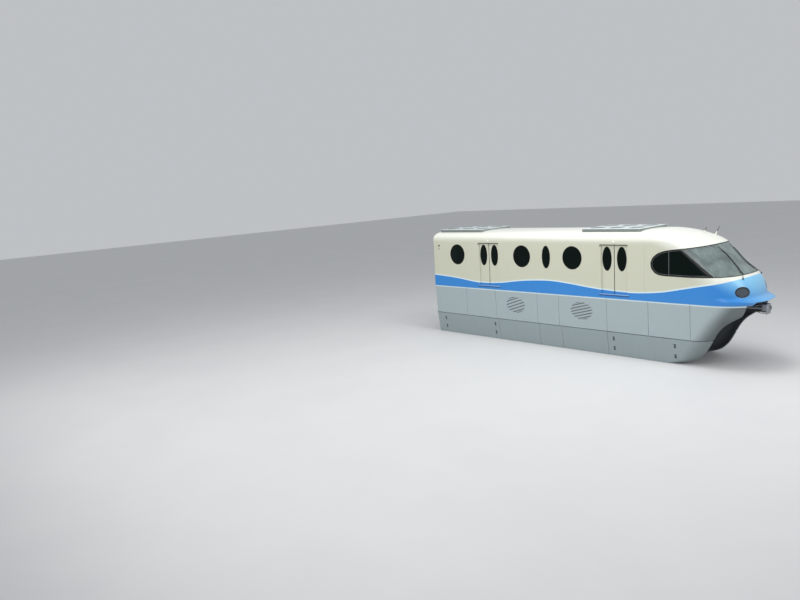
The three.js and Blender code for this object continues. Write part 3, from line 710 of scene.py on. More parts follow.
# each strip over a doorway: its ends from the door's middle, its bottom and its top
headers = ((-0.625, 0.61, 3.066, 3.096), (-0.625, -0.608, 3.0, 3.08), (0.597, 0.61, 3.02, 3.08))
bevel = np.array([(0.002, -0.0015), (-0.03, -0.037), (-0.03, -0.044), (0.002, -0.044)])
trims, brushes, jambs = [], [], []
for x in doorXs:
    for rear, front, bottom, top in headers:
        y = -widthAt((bottom + top) / 2)
        trims.append(roundBox([x + rear, y - 0.012, bottom], [x + front, y + 0.01, top], 0.004))
    for way in (-1, 1):
        edge = wallLine(x + way * (doors["width"] / 2 + 0.004), doors["low"] + 0.01, doors["high"], doors["brush"], 9)
        brushes.append(carried(edge, sideOut, oval(0.006, 0.0038, 8)))
        jambs.append(carried(edge - [way * 0.004, doors["brush"], 0], sideOut, bevel * [way, 1]))
sidePieces("doorBrushes", brushes, bodyPaint, "rubber", sharp=80)
sidePieces("doorJambs", jambs, bodyPaint, "cream_paint", sharp=30)
sidePieces("doorHeaders", trims, blackTrim, "rubber", sharp=80)
ledges = [block(x, 0.68, (-1.499, -1.475), (1.026, 1.068), 0.006) for x in doorXs]
sidePieces("doorLedges", ledges, lineBlue, "cream_paint", sharp=60)
plates = [block(x, 0.66, (-1.497, -1.45), (1.07, 1.104), 0.005) for x in doorXs]
sidePieces("doorPlates", plates, sillBlue, "aluminium", sharp=60)
dome = [[0, 0.01], [0.04, 0.01], [0.04, 0.0], [0.035, -0.016], [0.02, -0.027], [0, -0.03]]
sidePieces("doorLamps", [turned(dome, (x, -widthAt(3.2), 3.2), "y", 24) for x in doorXs], lampWhite, "lamp_glass")
markers = [block(-6.53, r, (-widthAt(z) - 0.006, -widthAt(z) + 0.02), (z - r, z + r), 0.012)
           for z, r in ((2.93, 0.045), (2.77, 0.028))]
sidePieces("sideMarkers", markers, blackTrim, "rubber")
print("walls made")

# ---- sliding doors ----
leafZ = (doors["low"] + doors["floorGap"], doors["high"] + doors["lap"] - doors["edgeGap"])
leafReach = doors["width"] / 2 + doors["lap"] - doors["edgeGap"]
faceDepth = doors["depth"] + doors["skin"]
for doorName, doorX in doors["x"].items():
    for leafName, way in (("a", -1), ("b", 1)):
        x, slim = doorX + way * windows["slimOffset"], windows["slim"]
        ends = (doorX + way * doors["meeting"], doorX + way * leafReach)
        hole = ovalHole(x, windows["z"], slim / 2, windows["halfHeight"], *doors["holeBlock"])
        leaf = panel(wallAt(faceDepth), lines(*ends, *hole["u"], step=0.05), lines(*leafZ, *hole["v"]), [hole])
        pane = ovalDisc(x, slim, doors["depth"] + 0.008, 0.002)
        bead = carried(ovalPath(x, slim, faceDepth), sideOut, oval(0.01, 0.004), True)
        edge = wallLine(doorX + way * 0.0125, leafZ[0] + 0.004, leafZ[1] - 0.004, doors["depth"] + 0.017, 12)
        seal = carried(edge, sideOut, oval(0.012, 0.019))
        for sideName, sign in sides.items():
            node = f"door_{doorName}_{sideName.lower()}_{leafName}"
            label = doorName + sideName + leafName.upper()
            makePiece("leaf" + label, onSide([leaf], sign), bodyPaint, "cream_paint", node, [node], doors["leaf"])
            makePiece("leafPane" + label, onSide([pane], sign), windowGlass, "window_glass", node,
                      thickness=windows["glass"])
            makePiece("leafSeal" + label, onSide([bead, seal], sign), gasketRubber, "rubber", node, sharp=80)
print("doors made")

# ---- nose, cab glass and headlamps ----
# The mouth is the opening over the coupler; mouthShare is where its side is, as a share of the way to the front.
nose = {"thickness": 0.044, "mouthTopZ": 1.06, "mouthShare": 0.9537, "fixedZ": 1.66, "glassTip": (4.8805, 2.42)}
lamp = {"x": 8.13, "y": -1.0, "z": 1.403, "halfWidth": 0.252, "halfHeight": 0.172, "turn": math.radians(40)}
lampForward = np.array([math.cos(lamp["turn"]), -math.sin(lamp["turn"]), 0])
lampAcross = np.array([math.sin(lamp["turn"]), math.cos(lamp["turn"]), 0])
# lower and upper edge of the cab glass, (x, z)
glassLine = np.array([
    [4.88, 2.42], [4.9, 2.22], [5.04, 2.04], [5.2, 1.97], [5.4, 1.945], [6.44, 1.925], [7.2, 1.945], [7.8, 1.962],
    [8.3, 2.01], [9.4, 2.03]])
glassTop = np.array([
    [4.88, 2.42], [4.96, 2.62], [5.16, 2.78], [5.42, 2.87], [5.7, 2.92], [6.3, 2.98], [6.97, 3.06], [7.65, 3.14],
    [9.4, 3.2]])
lowEdge = softLine(glassLine, 0.05)
highEdge = softLine(glassTop, 0.05)
noseRear = hull["cabX"] + hull["joint"]


def noseX(share, z):
    return noseRear + (frontAt(z) - noseRear) * share


def noseSurface(share, z, width=None, inset=0.0):
    # share runs from the cab's plane to the front; the half width is a superellipse over it
    x = noseX(share, z)
    y = np.where(share > 0.99999, 0, hullY(x, z, width))
    point = np.stack([x, -y, z + 0 * x], -1)
    if inset:
        centre = np.stack([x.clip(4, 6.2), 0 * y, (z + 0 * x).clip(1.4, 2.9)], -1)
        away = point - centre
        point = point - inset * away / np.linalg.norm(away, axis=-1, keepdims=True)
    return point


tipX, tipZ = nose["glassTip"]
tipShare = (tipX - hull["cabX"]) / (frontAt(tipZ) - hull["cabX"])
shares = np.concatenate([1 - (1 - np.linspace(0, 1, 84)) ** 2.4, tipShare + 0.055 * np.linspace(0, 1, 14) ** 2.2])
shares = np.unique(np.round(np.append(shares, nose["mouthShare"]), 6))
shares = shares[np.r_[True, np.diff(shares) > 2e-4]]
shares[-1] = 1.0
inGlass = shares >= tipShare - 1e-6


def glassEdge(edge, low, high):
    # height of an edge of the glass at each share, between low and high; the tip's height behind the glass
    def above(z):
        return z > np.interp(noseX(shares, z), *edge.T)
    return np.where(inGlass, bisect(np.full(shares.shape, low), np.full(shares.shape, high), above), tipZ)


lowZ = glassEdge(lowEdge, 1.8, tipZ)
highZ = np.maximum(glassEdge(highEdge, tipZ, 3.3), lowZ)


def lowerNose(share, v):
    # below fixedZ v is the height; above it v - fixedZ is the share of the way up to the glass
    edge = np.interp(share, shares, lowZ)
    z = np.where(v <= nose["fixedZ"], v, nose["fixedZ"] + (edge - nose["fixedZ"]) * (v - nose["fixedZ"]))
    return noseSurface(share, z)


def lampShare(z, reach):
    # the share at which the nose is that far to one side of the lamp's axis, seen along it
    def beyond(share):
        p = noseSurface(share, z)
        return (p[..., 0] - lamp["x"]) * lampAcross[0] + (p[..., 1] - lamp["y"]) * lampAcross[1] > reach
    return bisect(np.full(np.shape(z), 0.3), np.full(np.shape(z), 1.0), beyond)


def lampOutline(a, scale=1.0):
    z = lamp["z"] + lamp["halfHeight"] * scale * np.sin(a)
    return lampShare(z, lamp["halfWidth"] * scale * np.cos(a)), z


rowsLow = np.array([
    0.92, 0.95, 0.98, 1.01, 1.035, 1.06, 1.08, 1.1, 1.12, 1.14, 1.16, 1.18, 1.2, 1.23, 1.26, 1.3, 1.35, 1.4, 1.45, 1.5,
    1.54, 1.58, 1.62, nose["fixedZ"], 1.78, 1.9, 2.02, 2.14, 2.26, 2.38, 2.5, 2.58, 2.66])
lampLow, lampHigh = lampShare(np.array([lamp["z"]] * 2), np.array([-1, 1]) * lamp["halfWidth"])
blockLow = shares[shares < lampLow - 0.008][-1]
blockHigh = shares[shares > lampHigh + 0.006][0]
lampHole = {"u": (blockLow, blockHigh), "v": (1.16, nose["fixedZ"]), "centre": ((lampLow + lampHigh) / 2, lamp["z"]),
            "half": ((lampHigh - lampLow) / 2, lamp["halfHeight"]), "outline": lampOutline}
lower = panel(lowerNose, shares, rowsLow, [lampHole],
              gone=lambda u, v: (u > nose["mouthShare"]) & (v < nose["mouthTopZ"]), rings=4)
v = np.linspace(0, 1, 16)[:, None]
upper = sheet(noseSurface(shares[None], highZ + (hull["shoulderZ"] - highZ) * v))
archZ, archWidth = roofArch(22)
hood = sheet(noseSurface(np.repeat(shares[None], 22, 0), archZ[:, None], archWidth[:, None]))
rightHalf = [lower, upper, hood]
makePiece("noseShell", rightHalf + onSide(rightHalf, 1), bodyPaint, "cream_paint", replaces=["nose_shell"],
          thickness=nose["thickness"], sharp=50)


def glassSurface(v, inset):
    low, high = lowZ[inGlass], highZ[inGlass]
    return noseSurface(shares[inGlass][None], low + (high - low) * v[:, None], inset=inset)


pillarLine = {"low": (7.19, 7.35), "high": (5.87, 5.94), "sillZ": 1.9, "topZ": 3.06}


def pillarX(z, share):
    # x of the slanted pillar at a height; share 0 is its rear edge and 1 its front edge
    t = (z - pillarLine["sillZ"]) / (pillarLine["topZ"] - pillarLine["sillZ"])
    low, high = (pillarLine[k][0] + (pillarLine[k][1] - pillarLine[k][0]) * share for k in ("low", "high"))
    return low + (high - low) * t


verts, faces = sheet(glassSurface(np.linspace(0.0, 1, 24), 0.008))
centre = verts[faces].mean(1)
isScreen = centre[:, 0] > pillarX(centre[:, 2], 0.5)
for label, chosen, finish, gone in (("cabScreen", isScreen, screenGlass, ["cab_glass"]),
                                    ("cabSideGlass", ~isScreen, windowGlass, [])):
    makePiece(label, paired([(verts, faces[chosen])]), finish, "window_glass", replaces=gone,
              thickness=windows["glass"], sharp=60)
rims = [glassSurface(np.array([v]), 0.0)[0] for v in (0.0, 1.0)]
edgeLine = np.concatenate([rims[0][::-1], rims[1][1:]])
edgeUp = edgeLine - [6.0, 0, 2.3]
edgeUp[:, 0] = edgeUp[:, 0].clip(0, None)
makePiece("cabGlassSeal", paired([carried(edgeLine, edgeUp, oval(0.016, 0.008))]), gasketRubber, "rubber", sharp=80)


def pillarAt(inset, narrow=0.0):
    def surface(u, z):
        x = pillarX(z, narrow + (1 - 2 * narrow) * u)
        return np.stack([x, -(hullY(x, z) - inset), z + 0 * x], -1)
    return surface


band = panel(pillarAt(0.0055), np.linspace(0, 1, 8), np.linspace(1.945, 3.0, 30))
post = panel(pillarAt(0.02, 0.05), np.linspace(0, 1, 6), np.linspace(1.92, 3.04, 24))
makePiece("pillarBands", paired([band]), gasketRubber, "cab_plastic", thickness=0.0015)
makePiece("cabPosts", paired([post]), blackTrim, "cab_plastic", thickness=0.05)


def screenLine(places, out):
    # points on the windscreen at given y and z, lifted off along its normal (1, -dx/dy, -dx/dz)
    y, z = softLine(np.asarray(places, float), 0.06, 0.02).T

    def at(y, z):
        return bendX(z, superellipse(np.abs(y) / widthAt(z), hull["frontPower"]))
    e = 0.01
    slopes = [(at(y - e, z) - at(y + e, z)) / (2 * e), (at(y, z - e) - at(y, z + e)) / (2 * e)]
    normal = unitVector(np.stack([1 + 0 * y, *slopes], 1))
    return np.stack([at(y, z), y, z], 1) + normal * out, normal


# Two dark strips part the windscreen into three, with a wiper beside each; the lines are (y, z)
screenStrip = [(-0.5, 2.98), (-0.47, 2.88), (-0.42, 2.7), (-0.4, 2.46), (-0.45, 2.24), (-0.56, 2.06), (-0.61, 1.99)]
wiperArm = [(-0.8, 1.86), (-0.68, 1.99), (-0.56, 2.14), (-0.5, 2.3)]
wiperBlade = [(-0.66, 2.05), (-0.52, 2.24), (-0.47, 2.46), (-0.49, 2.72), (-0.52, 2.84)]
strip = carried(*screenLine(screenStrip, 0.0), oval(0.019, 0.006))
arm = carried(*screenLine(wiperArm, 0.026), oval(0.011, 0.006, 8))
holder = carried(*screenLine(wiperBlade, 0.022), oval(0.007, 0.005, 8))
blade = carried(*screenLine(wiperBlade, 0.009), oval(0.003, 0.008, 8))
pivot = turned([[0, -0.02], [0.03, -0.02], [0.03, 0.0], [0.022, 0.012], [0.018, 0.026], [0, 0.03]],
               screenLine(wiperArm, 0.012)[0][0], "z", 20)
makePiece("screenStrips", paired([strip]), gasketRubber, "rubber", sharp=80)
makePiece("wipers", paired([arm, holder, blade, pivot]), blackTrim, "dark_steel", sharp=60)

# A light bar across the side glass and a light line inside its rear end
z = np.linspace(1.96, 2.87, 16)
bar = np.stack([5.605 + 0 * z, -(hullY(5.605, z) - 0.006), z], 1)
rim = edgeLine[edgeLine[:, 0] < 7.1]
inward = np.stack([rim[:, 0].clip(5.36, 8), rim[:, 1], 0 * rim[:, 2] + 2.43], 1) - rim
rim = rim + 0.05 * unitVector(inward)
rim[:, 1] = -(hullY(rim[:, 0], rim[:, 2]) - 0.007)
trims = [carried(bar, sideOut, oval(0.011, 0.004, 8)), carried(rim, sideOut, oval(0.006, 0.003, 8))]
makePiece("sideGlassTrim", paired(trims), castGrey, "aluminium", sharp=60)


def leaningRod(foot, tip, radii):
    # a round rod between two points; its radius follows radii from one end to the other
    t = np.linspace(0, 1, len(radii))[:, None, None]
    ring = np.pad(circle(1), ((0, 0), (0, 1)))
    return sheet(capped(foot * (1 - t) + tip * t + ring * np.array(radii)[:, None, None]), True)


# Two whip antennas on the nose's roof: a white tapered foot and a dark rod in it, both leaning forwards.
# Each has its x and y, the rod's height and how far the white foot shows.
antennas = ((5.87, 0.9, 0.18, 0.01), (6.31, 0.85, 0.35, 0.11))
lean = np.array([0.5, 0, 1.0])
feet, whips = [], []
for x, y, height, white in antennas:
    z = np.linspace(2.9, 3.62, 200)
    reach = hullY(x, z, widthAt(z) * superellipse(archShare(z), hull["shoulderPower"]))
    foot = np.array([x, y, np.interp(-y, -np.where(x < frontAt(z), reach, 0), z) - 0.02])
    feet.append(leaningRod(foot, foot + lean * (0.04 + white), [0.036, 0.03, 0.022, 0.016]))
    whips.append(leaningRod(foot + lean * (0.03 + white), foot + lean * height, [0.014, 0.013, 0.011, 0.008]))
makePiece("antennaFeet", feet, bodyPaint, "roof_paint", sharp=60)
makePiece("antennaWhips", whips, blackTrim, "rubber", sharp=60)
print("nose made")

# Headlamps: a bezel on the edge, a bowl behind it, two lamps in the bowl and a clear lens
a = around(64)
rim = noseSurface(*lampOutline(a))
middle = rim.mean(0)
sidePieces("lampBezel", [carried(rim, lampForward, oval(0.024, 0.008), True)], blackTrim, "rubber", sharp=80)
depth = np.array([0.0, 0.03, 0.07, 0.1, 0.12, 0.125])[:, None, None]
size = np.array([0.99, 0.93, 0.78, 0.55, 0.3, 0.0])[:, None, None]
bowl = sheet(middle + (rim - middle) * size - lampForward * depth, True)
sidePieces("lampBowl", [bowl], lampBowl, "lamp_glass", openSheet=True, sharp=60)
cups = []
for step in (-0.115, 0.115):
    verts, faces = turned([[0, 0.0], [0.03, 0.002], [0.055, 0.014], [0.075, 0.04], [0.084, 0.07], [0.09, 0.07],
                           [0.09, -0.01], [0, -0.012]], axis="x")
    verts = verts @ np.array([lampForward, lampAcross, [0, 0, 1]])
    cups.append((verts + middle - lampForward * 0.105 + lampAcross * step, faces))
sidePieces("lampCups", cups, lampBody, "lamp_glass")
u, z = lampOutline(np.repeat(a[None], 9, 0), np.repeat(np.linspace(0, 1, 9)[:, None], 64, 1) * 0.985)
sidePieces("headlamp", [sheet(noseSurface(u, z, inset=0.006), True)], lampGlass, "lamp_glass", "headlamp",
           thickness=0.005)
print("headlamps made")

# ---- roof and rear cap ----
roofX = lines(*wallX, step=0.18)
roofHalf = sheet(np.stack(np.broadcast_arrays(roofX[None], -archWidth[:, None], archZ[:, None]), -1))
makePiece("roofShell", paired([roofHalf]), bodyPaint, "roof_paint", replaces=["roof"], thickness=0.044)
gateway = {"half": 0.42, "low": 1.07, "high": 3.0, "middle": 1.9}


def capPoint(arch, v):
    # around the arch of the end, and along it: v from 0 at the roof to 1 at the corner and 2 at the doorway
    y, z = arch[..., 0], arch[..., 1]
    back = hull["rearX"] + hull["rearRecess"] * archShare(z) ** 3
    r = hull["cornerR"]
    turn = (v.clip(0.5, 1) - 0.5) * np.pi
    x = hull["capX"] - hull["joint"] + (back + r - hull["capX"]) * (v / 0.5).clip(0, 1) - r * np.sin(turn)
    reach = np.hypot(y, z - gateway["middle"])
    draw = 1 - r * (1 - np.cos(turn)) / reach
    dy, dz = y / reach, (z - gateway["middle"]) / reach
    upright = np.where(dz > 0, gateway["high"] - gateway["middle"], gateway["middle"] - gateway["low"])
    toDoor = np.minimum(gateway["half"] / np.maximum(np.abs(dy), 1e-6), upright / np.maximum(np.abs(dz), 1e-6))
    share = (v - 1).clip(0, 1)
    length = reach * draw * (1 - share) + toDoor * share
    x = np.where(v > 1, back * (1 - share) + hull["rearX"] * share, x)
    return np.stack([x, dy * length, gateway["middle"] + dz * length], -1)


z = np.linspace(*wallZ, 30)
floorEdge = np.stack([np.linspace(0, -hull["halfWidth"], 24)[:-1], np.full(23, hull["beltZ"])], 1)
arch = np.concatenate([floorEdge, np.stack([-widthAt(z), z], 1), np.stack([-archWidth[1:], archZ[1:]], 1)])
v = np.array([0, 0.25, 0.5, 0.58, 0.67, 0.75, 0.83, 0.92, 1.0, 1.12, 1.3, 1.5, 1.7, 1.85, 2.0])
cap = capPoint(arch[None], v[:, None])
cap[:, 0, 1] = cap[:, -1, 1] = 0
cap[:9, :23, 2] = hull["beltZ"]
verts, faces = sheet(cap)
low = cap[:, :, 2] < hull["beltZ"] + 1e-4
faces = faces[~(low[:-1, :-1] & low[1:, 1:]).ravel()]  # no face lies in the plane of the belt
makePiece("rearCap", paired([(verts, faces)]), bodyPaint, "cream_paint", replaces=["rear_cap"], thickness=0.04,
          sharp=50)
print("roof made")

# ---- skirts ----
skirt = {"t": 0.032, "gap": 0.006, "frontHalf": 1.0, "bendX": 5.9, "rearX": hull["rearX"] + 0.001,
         "upperSeams": [-4.79, -2.94, -0.55, 0.59, 2.93, 4.75, 6.42], "lowerSeams": [-2.85, -0.51, 0.7, 2.92],
         "upperZ": (hull["divisionZ"] + 0.016, hull["beltZ"] - 0.006),
         "lowerZ": (hull["bottomZ"] + 0.002, hull["divisionZ"] - 0.016)}
# each grille: x, z, half its height, number of slots, their pitch and their rise along x
grille = {"places": [(-1.775, 0.28, 0.36, 5, 0.146, 0.33), (1.735, 0.3, 0.37, 6, 0.124, 0.26)], "half": 0.53,
          "slot": 0.052, "block": (0.6, 0.5)}


def skirtEnd(z):
    return bendX(z, superellipse(skirt["frontHalf"] / widthAt(z), hull["frontPower"]))


def skirtPanel(x0, x1, zs, holes=()):
    # a panel from x0 to x1; without x1 it runs round the bend to the front edge, with lines closer there
    if x1 is None:
        share = 1 - (1 - np.linspace(0, 1, 48)) ** 1.6
        return panel(lambda u, z: skirtPoint(x0 + (skirtEnd(z) - x0) * u, z), share, zs)
    xs = lines(x0, x1, *[v for h in holes for v in h["u"]], step=0.07)
    return panel(skirtPoint, xs, zs, holes)


def skirtRow(seams, low, high, grilles=()):
    # the panels of one row, with a gap on each side of a seam
    parts, edges = [], [skirt["rearX"] - skirt["gap"], *seams, None]
    for x0, x1 in zip(edges[:-1], edges[1:]):
        holes = [ovalHole(x, z, grille["half"], rz, *grille["block"]) for x, z, rz, *_ in grilles if x1 and x0 < x < x1]
        marks = [v for h in holes for v in h["v"] if low < v < high]
        for h in holes:
            h["v"] = (max(h["v"][0], low), min(h["v"][1], high))
        end = None if x1 is None else x1 - skirt["gap"]
        parts.append(skirtPanel(x0 + skirt["gap"], end, lines(low, high, *marks), holes))
    return parts


def skirtPoint(x, z):
    y = hullY(x, z)
    corner = ((hull["rearX"] + hull["cornerR"] - x) / hull["cornerR"]).clip(0, 1)
    return np.stack([x, -(y - hull["cornerR"] * (1 - np.sqrt(1 - corner ** 2))), z + 0 * x], -1)


def skirtInside(x, z):
    # the skirt's face drawn in towards the car's middle line, and towards one point at the nose
    point = skirtPoint(x, z)
    away = point - np.stack([point[..., 0].clip(None, skirt["bendX"]), 0 * point[..., 1], point[..., 2]], -1)
    return point - unitVector(away) * (skirt["t"] + 0.002)


def slats(x, z, rz, count, pitch, rise):
    # the bars between slanted slots inside an oval hole; t is the place across the slots
    rx, half = grille["half"], grille["slot"] / 2
    middles = [(i - (count - 1) / 2) * pitch for i in range(count)]
    edges = [-rz, *[m + d for m in middles for d in (-half, half)], rz]
    parts = []
    for low, high in zip(edges[::2], edges[1::2]):
        t = np.linspace(low, high, 5)[:, None]
        # a slanted line z = t + rise * x cut by the oval (x / rx)^2 + (z / rz)^2 = 1
        a, b, c = 1 / rx ** 2 + (rise / rz) ** 2, 2 * rise * t / rz ** 2, (t / rz) ** 2 - 1
        root = np.sqrt(np.maximum(b * b - 4 * a * c, 1e-9))
        s = (-b - root) / (2 * a) + root / a * np.linspace(0, 1, 25)
        parts.append(sheet(skirtPoint(x + s, z + t + rise * s)))
    return parts


upper = skirtRow(skirt["upperSeams"], *skirt["upperZ"], grille["places"])
upper += [slat for row in grille["places"] for slat in slats(*row)]
sidePieces("skirtUpper", upper, upperGrey, "grey_paint", "skirt_upper", thickness=skirt["t"])
lower = skirtRow(skirt["lowerSeams"], *skirt["lowerZ"])
sidePieces("skirtLower", lower, lowerGrey, "lower_grey_paint", "skirt_lower", thickness=skirt["t"])
rows, bend = lines(-1.42, 0.89, hull["divisionZ"], step=0.2), skirt["bendX"]
share = np.linspace(0, 1, 24) ** 0.7
backing = [panel(skirtInside, lines(skirt["rearX"] + 0.03, bend, step=0.4), rows),
           panel(lambda u, z: skirtInside(bend + (skirtEnd(z) - 0.02 - bend) * u, z), share, rows)]
sidePieces("skirtBacking", backing, innerGrey, "dark_steel", thickness=0.004)
# Catches on the lower panels: three flat bars and a link, each with its height over the catch's middle, half its
# width and half its height
bars = ((-0.062, 0.05, 0.017), (0, 0.05, 0.017), (0.062, 0.05, 0.017), (0, 0.014, 0.06))
catches = [block(x, wide, (-0.012, 0.006), (z + step - high, z + step + high), 0.006)
           for x in (-6.34, -3.08, 3.2, 5.8) for z in (-0.74, -1.15) for step, wide, high in bars]
catches = [(np.stack([v[:, 0], v[:, 1] - hullY(v[:, 0], v[:, 2]) + 0.008, v[:, 2]], 1), f) for v, f in catches]
sidePieces("skirtCatches", catches, blackTrim, "dark_steel")
print("skirts made")

# ---- roof units ----
unit = {"half": 1.05, "top": 3.715, "skirtZ": 3.6, "rows": {"rear": (-6.76, -3.95), "front": (1.57, 4.25)}}


def roofZ(y):
    # height of the roof's skin at y, away from the ends
    return np.interp(np.abs(y), archWidth[::-1], archZ[::-1])


half, top = unit["half"], unit["top"]
# a fan's guard: four rings of wire on three bars
guard = [carried(np.pad(circle(r, 48), ((0, 0), (0, 1))), (0, 0, 1), circle(0.005, 6), True)
         for r in (0.08, 0.16, 0.24, 0.32)]
for a in (0, np.pi / 3, 2 * np.pi / 3):
    reach = 0.33 * np.array([math.cos(a), math.sin(a), 0])
    guard.append(moved(tube(np.linspace(-1, 1, 3)[:, None] * reach, 0.006, 6), (0, 0, 0.002)))
for name, (x0, x1) in unit["rows"].items():
    label = name.capitalize()
    base = roundBox([x0 + 0.01, -half + 0.01, 3.53], [x1 - 0.01, half - 0.01, top - 0.035], 0.02)
    verts = base[0]
    verts[:, 2] = np.where(verts[:, 2] < unit["skirtZ"], roofZ(verts[:, 1]) + 0.002, verts[:, 2])
    bars = [block(x, 0.024, (y - 0.004, y + 0.004), (3.585, top - 0.047), 0.004, 2)
            for y in (-half, half) for x in np.arange(x0 + 0.12, x1 - 0.1, 0.075)]
    makePiece("unitSide" + label, [base, *bars], unitGrey, "grey_paint", replaces=["roof_unit_" + name])
    lid = roundBox([x0, -half, top - 0.04], [x1, half, top - 0.02], 0.009, 2)
    places = [(x, y) for x in np.linspace(x0 + 0.45, x1 - 0.45, 3) for y in (-0.5, 0.5)]
    plates = [block(x, 0.4, (y - 0.4, y + 0.4), (top - 0.023, top - 0.017), 0.003, 2) for x, y in places]
    makePiece("unitLid" + label, [lid, *plates], litUnitTop, "grey_paint")
    fans = [moved(p, (x, y, top - 0.013)) for x, y in places for p in guard]
    makePiece("unitFans" + label, fans, unitGrey, "dark_steel")
print("roof units made")

# ---- cushions ----
padding = {"margin": 0.008, "pressure": 4, "frames": 20, "cap": 0.012, "channelDepth": 0.009, "channelWidth": 0.018,
           "pipe": 0.005, "pipeInset": 0.014}


def plumped(low, high, channels=(), voxel=0.018):
    # a crowned pad, remeshed and blown up as cloth; a point moves no further than cap, then channels are sewn in
    low, high = np.asarray(low, float), np.asarray(high, float)
    verts, faces = cushion(low + padding["margin"], high - padding["margin"])
    pad = linked("padStart", newMesh("padStart", verts, faces.tolist()))
    remesh = pad.modifiers.new("remesh", "REMESH")
    remesh.mode, remesh.voxel_size = "VOXEL", voxel
    pad.data = applied(pad)
    start = np.array([v.co for v in pad.data.vertices])
    cloth = pad.modifiers.new("cloth", "CLOTH")
    cloth.settings.use_pressure, cloth.settings.uniform_pressure_force = True, padding["pressure"]
    cloth.settings.effector_weights.gravity = 0
    cloth.point_cache.frame_end = padding["frames"]
    for step in range(1, padding["frames"] + 1):
        bpy.context.scene.frame_set(step)
    blown = pad.evaluated_get(bpy.context.evaluated_depsgraph_get()).to_mesh()
    move = np.array([v.co for v in blown.vertices]) - start
    far = np.linalg.norm(move, axis=1, keepdims=True)
    verts = start + move * np.minimum(1, padding["cap"] / np.maximum(far, 1e-9))
    blown.calc_loop_triangles()
    faces = np.array([t.vertices[:] for t in blown.loop_triangles])
    bpy.data.objects.remove(pad)
    bpy.context.scene.frame_set(1)
    verts = verts.clip(low, high)
    thin = int(np.argmin(high - low))
    for axis, place in channels:
        # a sewn channel pulls the face in with a bell-shaped groove
        side = np.sign(verts[:, thin] - (low + high)[thin] / 2)
        groove = np.exp(-((verts[:, axis] - place) / padding["channelWidth"]) ** 2)
        verts[:, thin] -= side * padding["channelDepth"] * groove
    return verts, faces


def piping(low, high, thin):
    # a cord of piping round the middle of a pad that is thin along one axis
    low, high = np.asarray(low, float), np.asarray(high, float)
    path = np.zeros((64, 3)) + (low + high) / 2
    for axis, turn in zip([k for k in range(3) if k != thin], circle(1, 64).T):
        path[:, axis] += (high[axis] - low[axis] - padding["pipeInset"]) / 2 * bent(turn, 0.3)
    return carried(path, np.eye(3)[thin], circle(padding["pipe"], 8), True)


bench = {"reach": 1.95, "count": 4, "seat": [(-0.487, -1.34, 1.415), (0.487, -0.885, 1.499)],
         "back": [(-0.487, -1.342, 1.51), (0.487, -1.254, 1.985)]}
places = [((k - 1.5) * bench["reach"] / 2, 0, 0) for k in range(bench["count"])]
for part, node in (("seat", "bench"), ("back", None)):
    pads = scattered(plumped(*bench[part], channels=[(0, -0.16), (0, 0.16)]), places)
    for piece in sidePieces(f"bench{part.capitalize()}Pads", [pads], seatCloth, "seat_fabric", node, sharp=80):
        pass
seams = [scattered(piping(*bench["seat"], 2), places), scattered(piping(*bench["back"], 1), places)]
sidePieces("benchPiping", seams, gasketRubber, "seat_fabric", sharp=80)
frames = [block(0, bench["reach"], (-1.345, -0.9), (1.4, 1.414), 0.006),
          block(0, bench["reach"], (-1.369, -1.345), (1.4, 1.99), 0.01),
          block(0, 1.9, (-1.3, -1.288), (1.072, 1.395), 0.004)]
for x in np.linspace(-1.85, 1.85, 6):
    frames.append(block(x, 0.02, (-1.36, -1.3), (1.0715, 1.4), 0.008))
    frames.append(block(x, 0.012, (-1.32, -0.96), (1.33, 1.4), 0.006))
sidePieces("benchFrame", frames, castGrey, "aluminium", sharp=60)
print("benches made")

# ---- cab ----
chair = {"seat": [(6.3, -0.232, 1.505), (6.712, 0.232, 1.588)], "back": [(6.19, -0.232, 1.6), (6.27, 0.232, 2.195)]}
armrestY, screensY, gripsY = (-0.215, 0.215), (-0.62, -0.2, 0.22, 0.64), (-0.41, 0.43)


def sheared(part, axis, along, start, rate, offset=0.0):
    # points move on one axis by a rate times their way along another
    verts, faces = part
    verts = verts.copy()
    verts[:, axis] += (verts[:, along] - start) * rate + offset
    return verts, faces


def leaning(part):
    # the chair's back tips rearwards with height
    return sheared(part, 0, 2, 2.2, -0.16)


def onDesk(part):
    # heights above the desk's slope
    return sheared(part, 2, 0, 7.06, 0.1667, 1.84)


seatPad = plumped(*chair["seat"], channels=[(1, -0.1), (1, 0.1)], voxel=0.014)
backPad = leaning(plumped(*chair["back"], channels=[(2, 1.78), (2, 1.95)], voxel=0.014))
piece = makePiece("driverPads", [seatPad, backPad], seatCloth, "seat_fabric", replaces=["driver_chair"], sharp=80)
seams = [piping(*chair["seat"], 2), leaning(piping(*chair["back"], 0))]
makePiece("driverPiping", seams, gasketRubber, "seat_fabric", sharp=80)
shell = [roundBox([6.27, -0.225, 1.482], [6.7, 0.225, 1.506], 0.01),
         leaning(roundBox([6.16, -0.225, 1.5], [6.188, 0.225, 2.17], 0.012))]
for y in armrestY:
    shell.append(roundBox([6.34, y - 0.02, 1.74], [6.62, y + 0.02, 1.775], 0.014))
    shell.append(roundBox([6.35, y - 0.012, 1.5], [6.38, y + 0.012, 1.75], 0.008))
folds = [[0.05 + 0.012 * (k % 2), 1.12 + k * 0.033] for k in range(12)]
column = turned([[0, 1.09], [0.05, 1.09], *folds, [0.05, 1.485], [0, 1.485]], (6.47, 0, 0), "z", 28)
foot = turned([[0, 1.072], [0.155, 1.072], [0.155, 1.082], [0.06, 1.1], [0, 1.1]], (6.49, 0, 0), "z", 36)
makePiece("driverShell", [*shell, foot], cabPlastic, "cab_plastic", sharp=60)
makePiece("driverColumn", [column], bellowsRubber, "rubber")

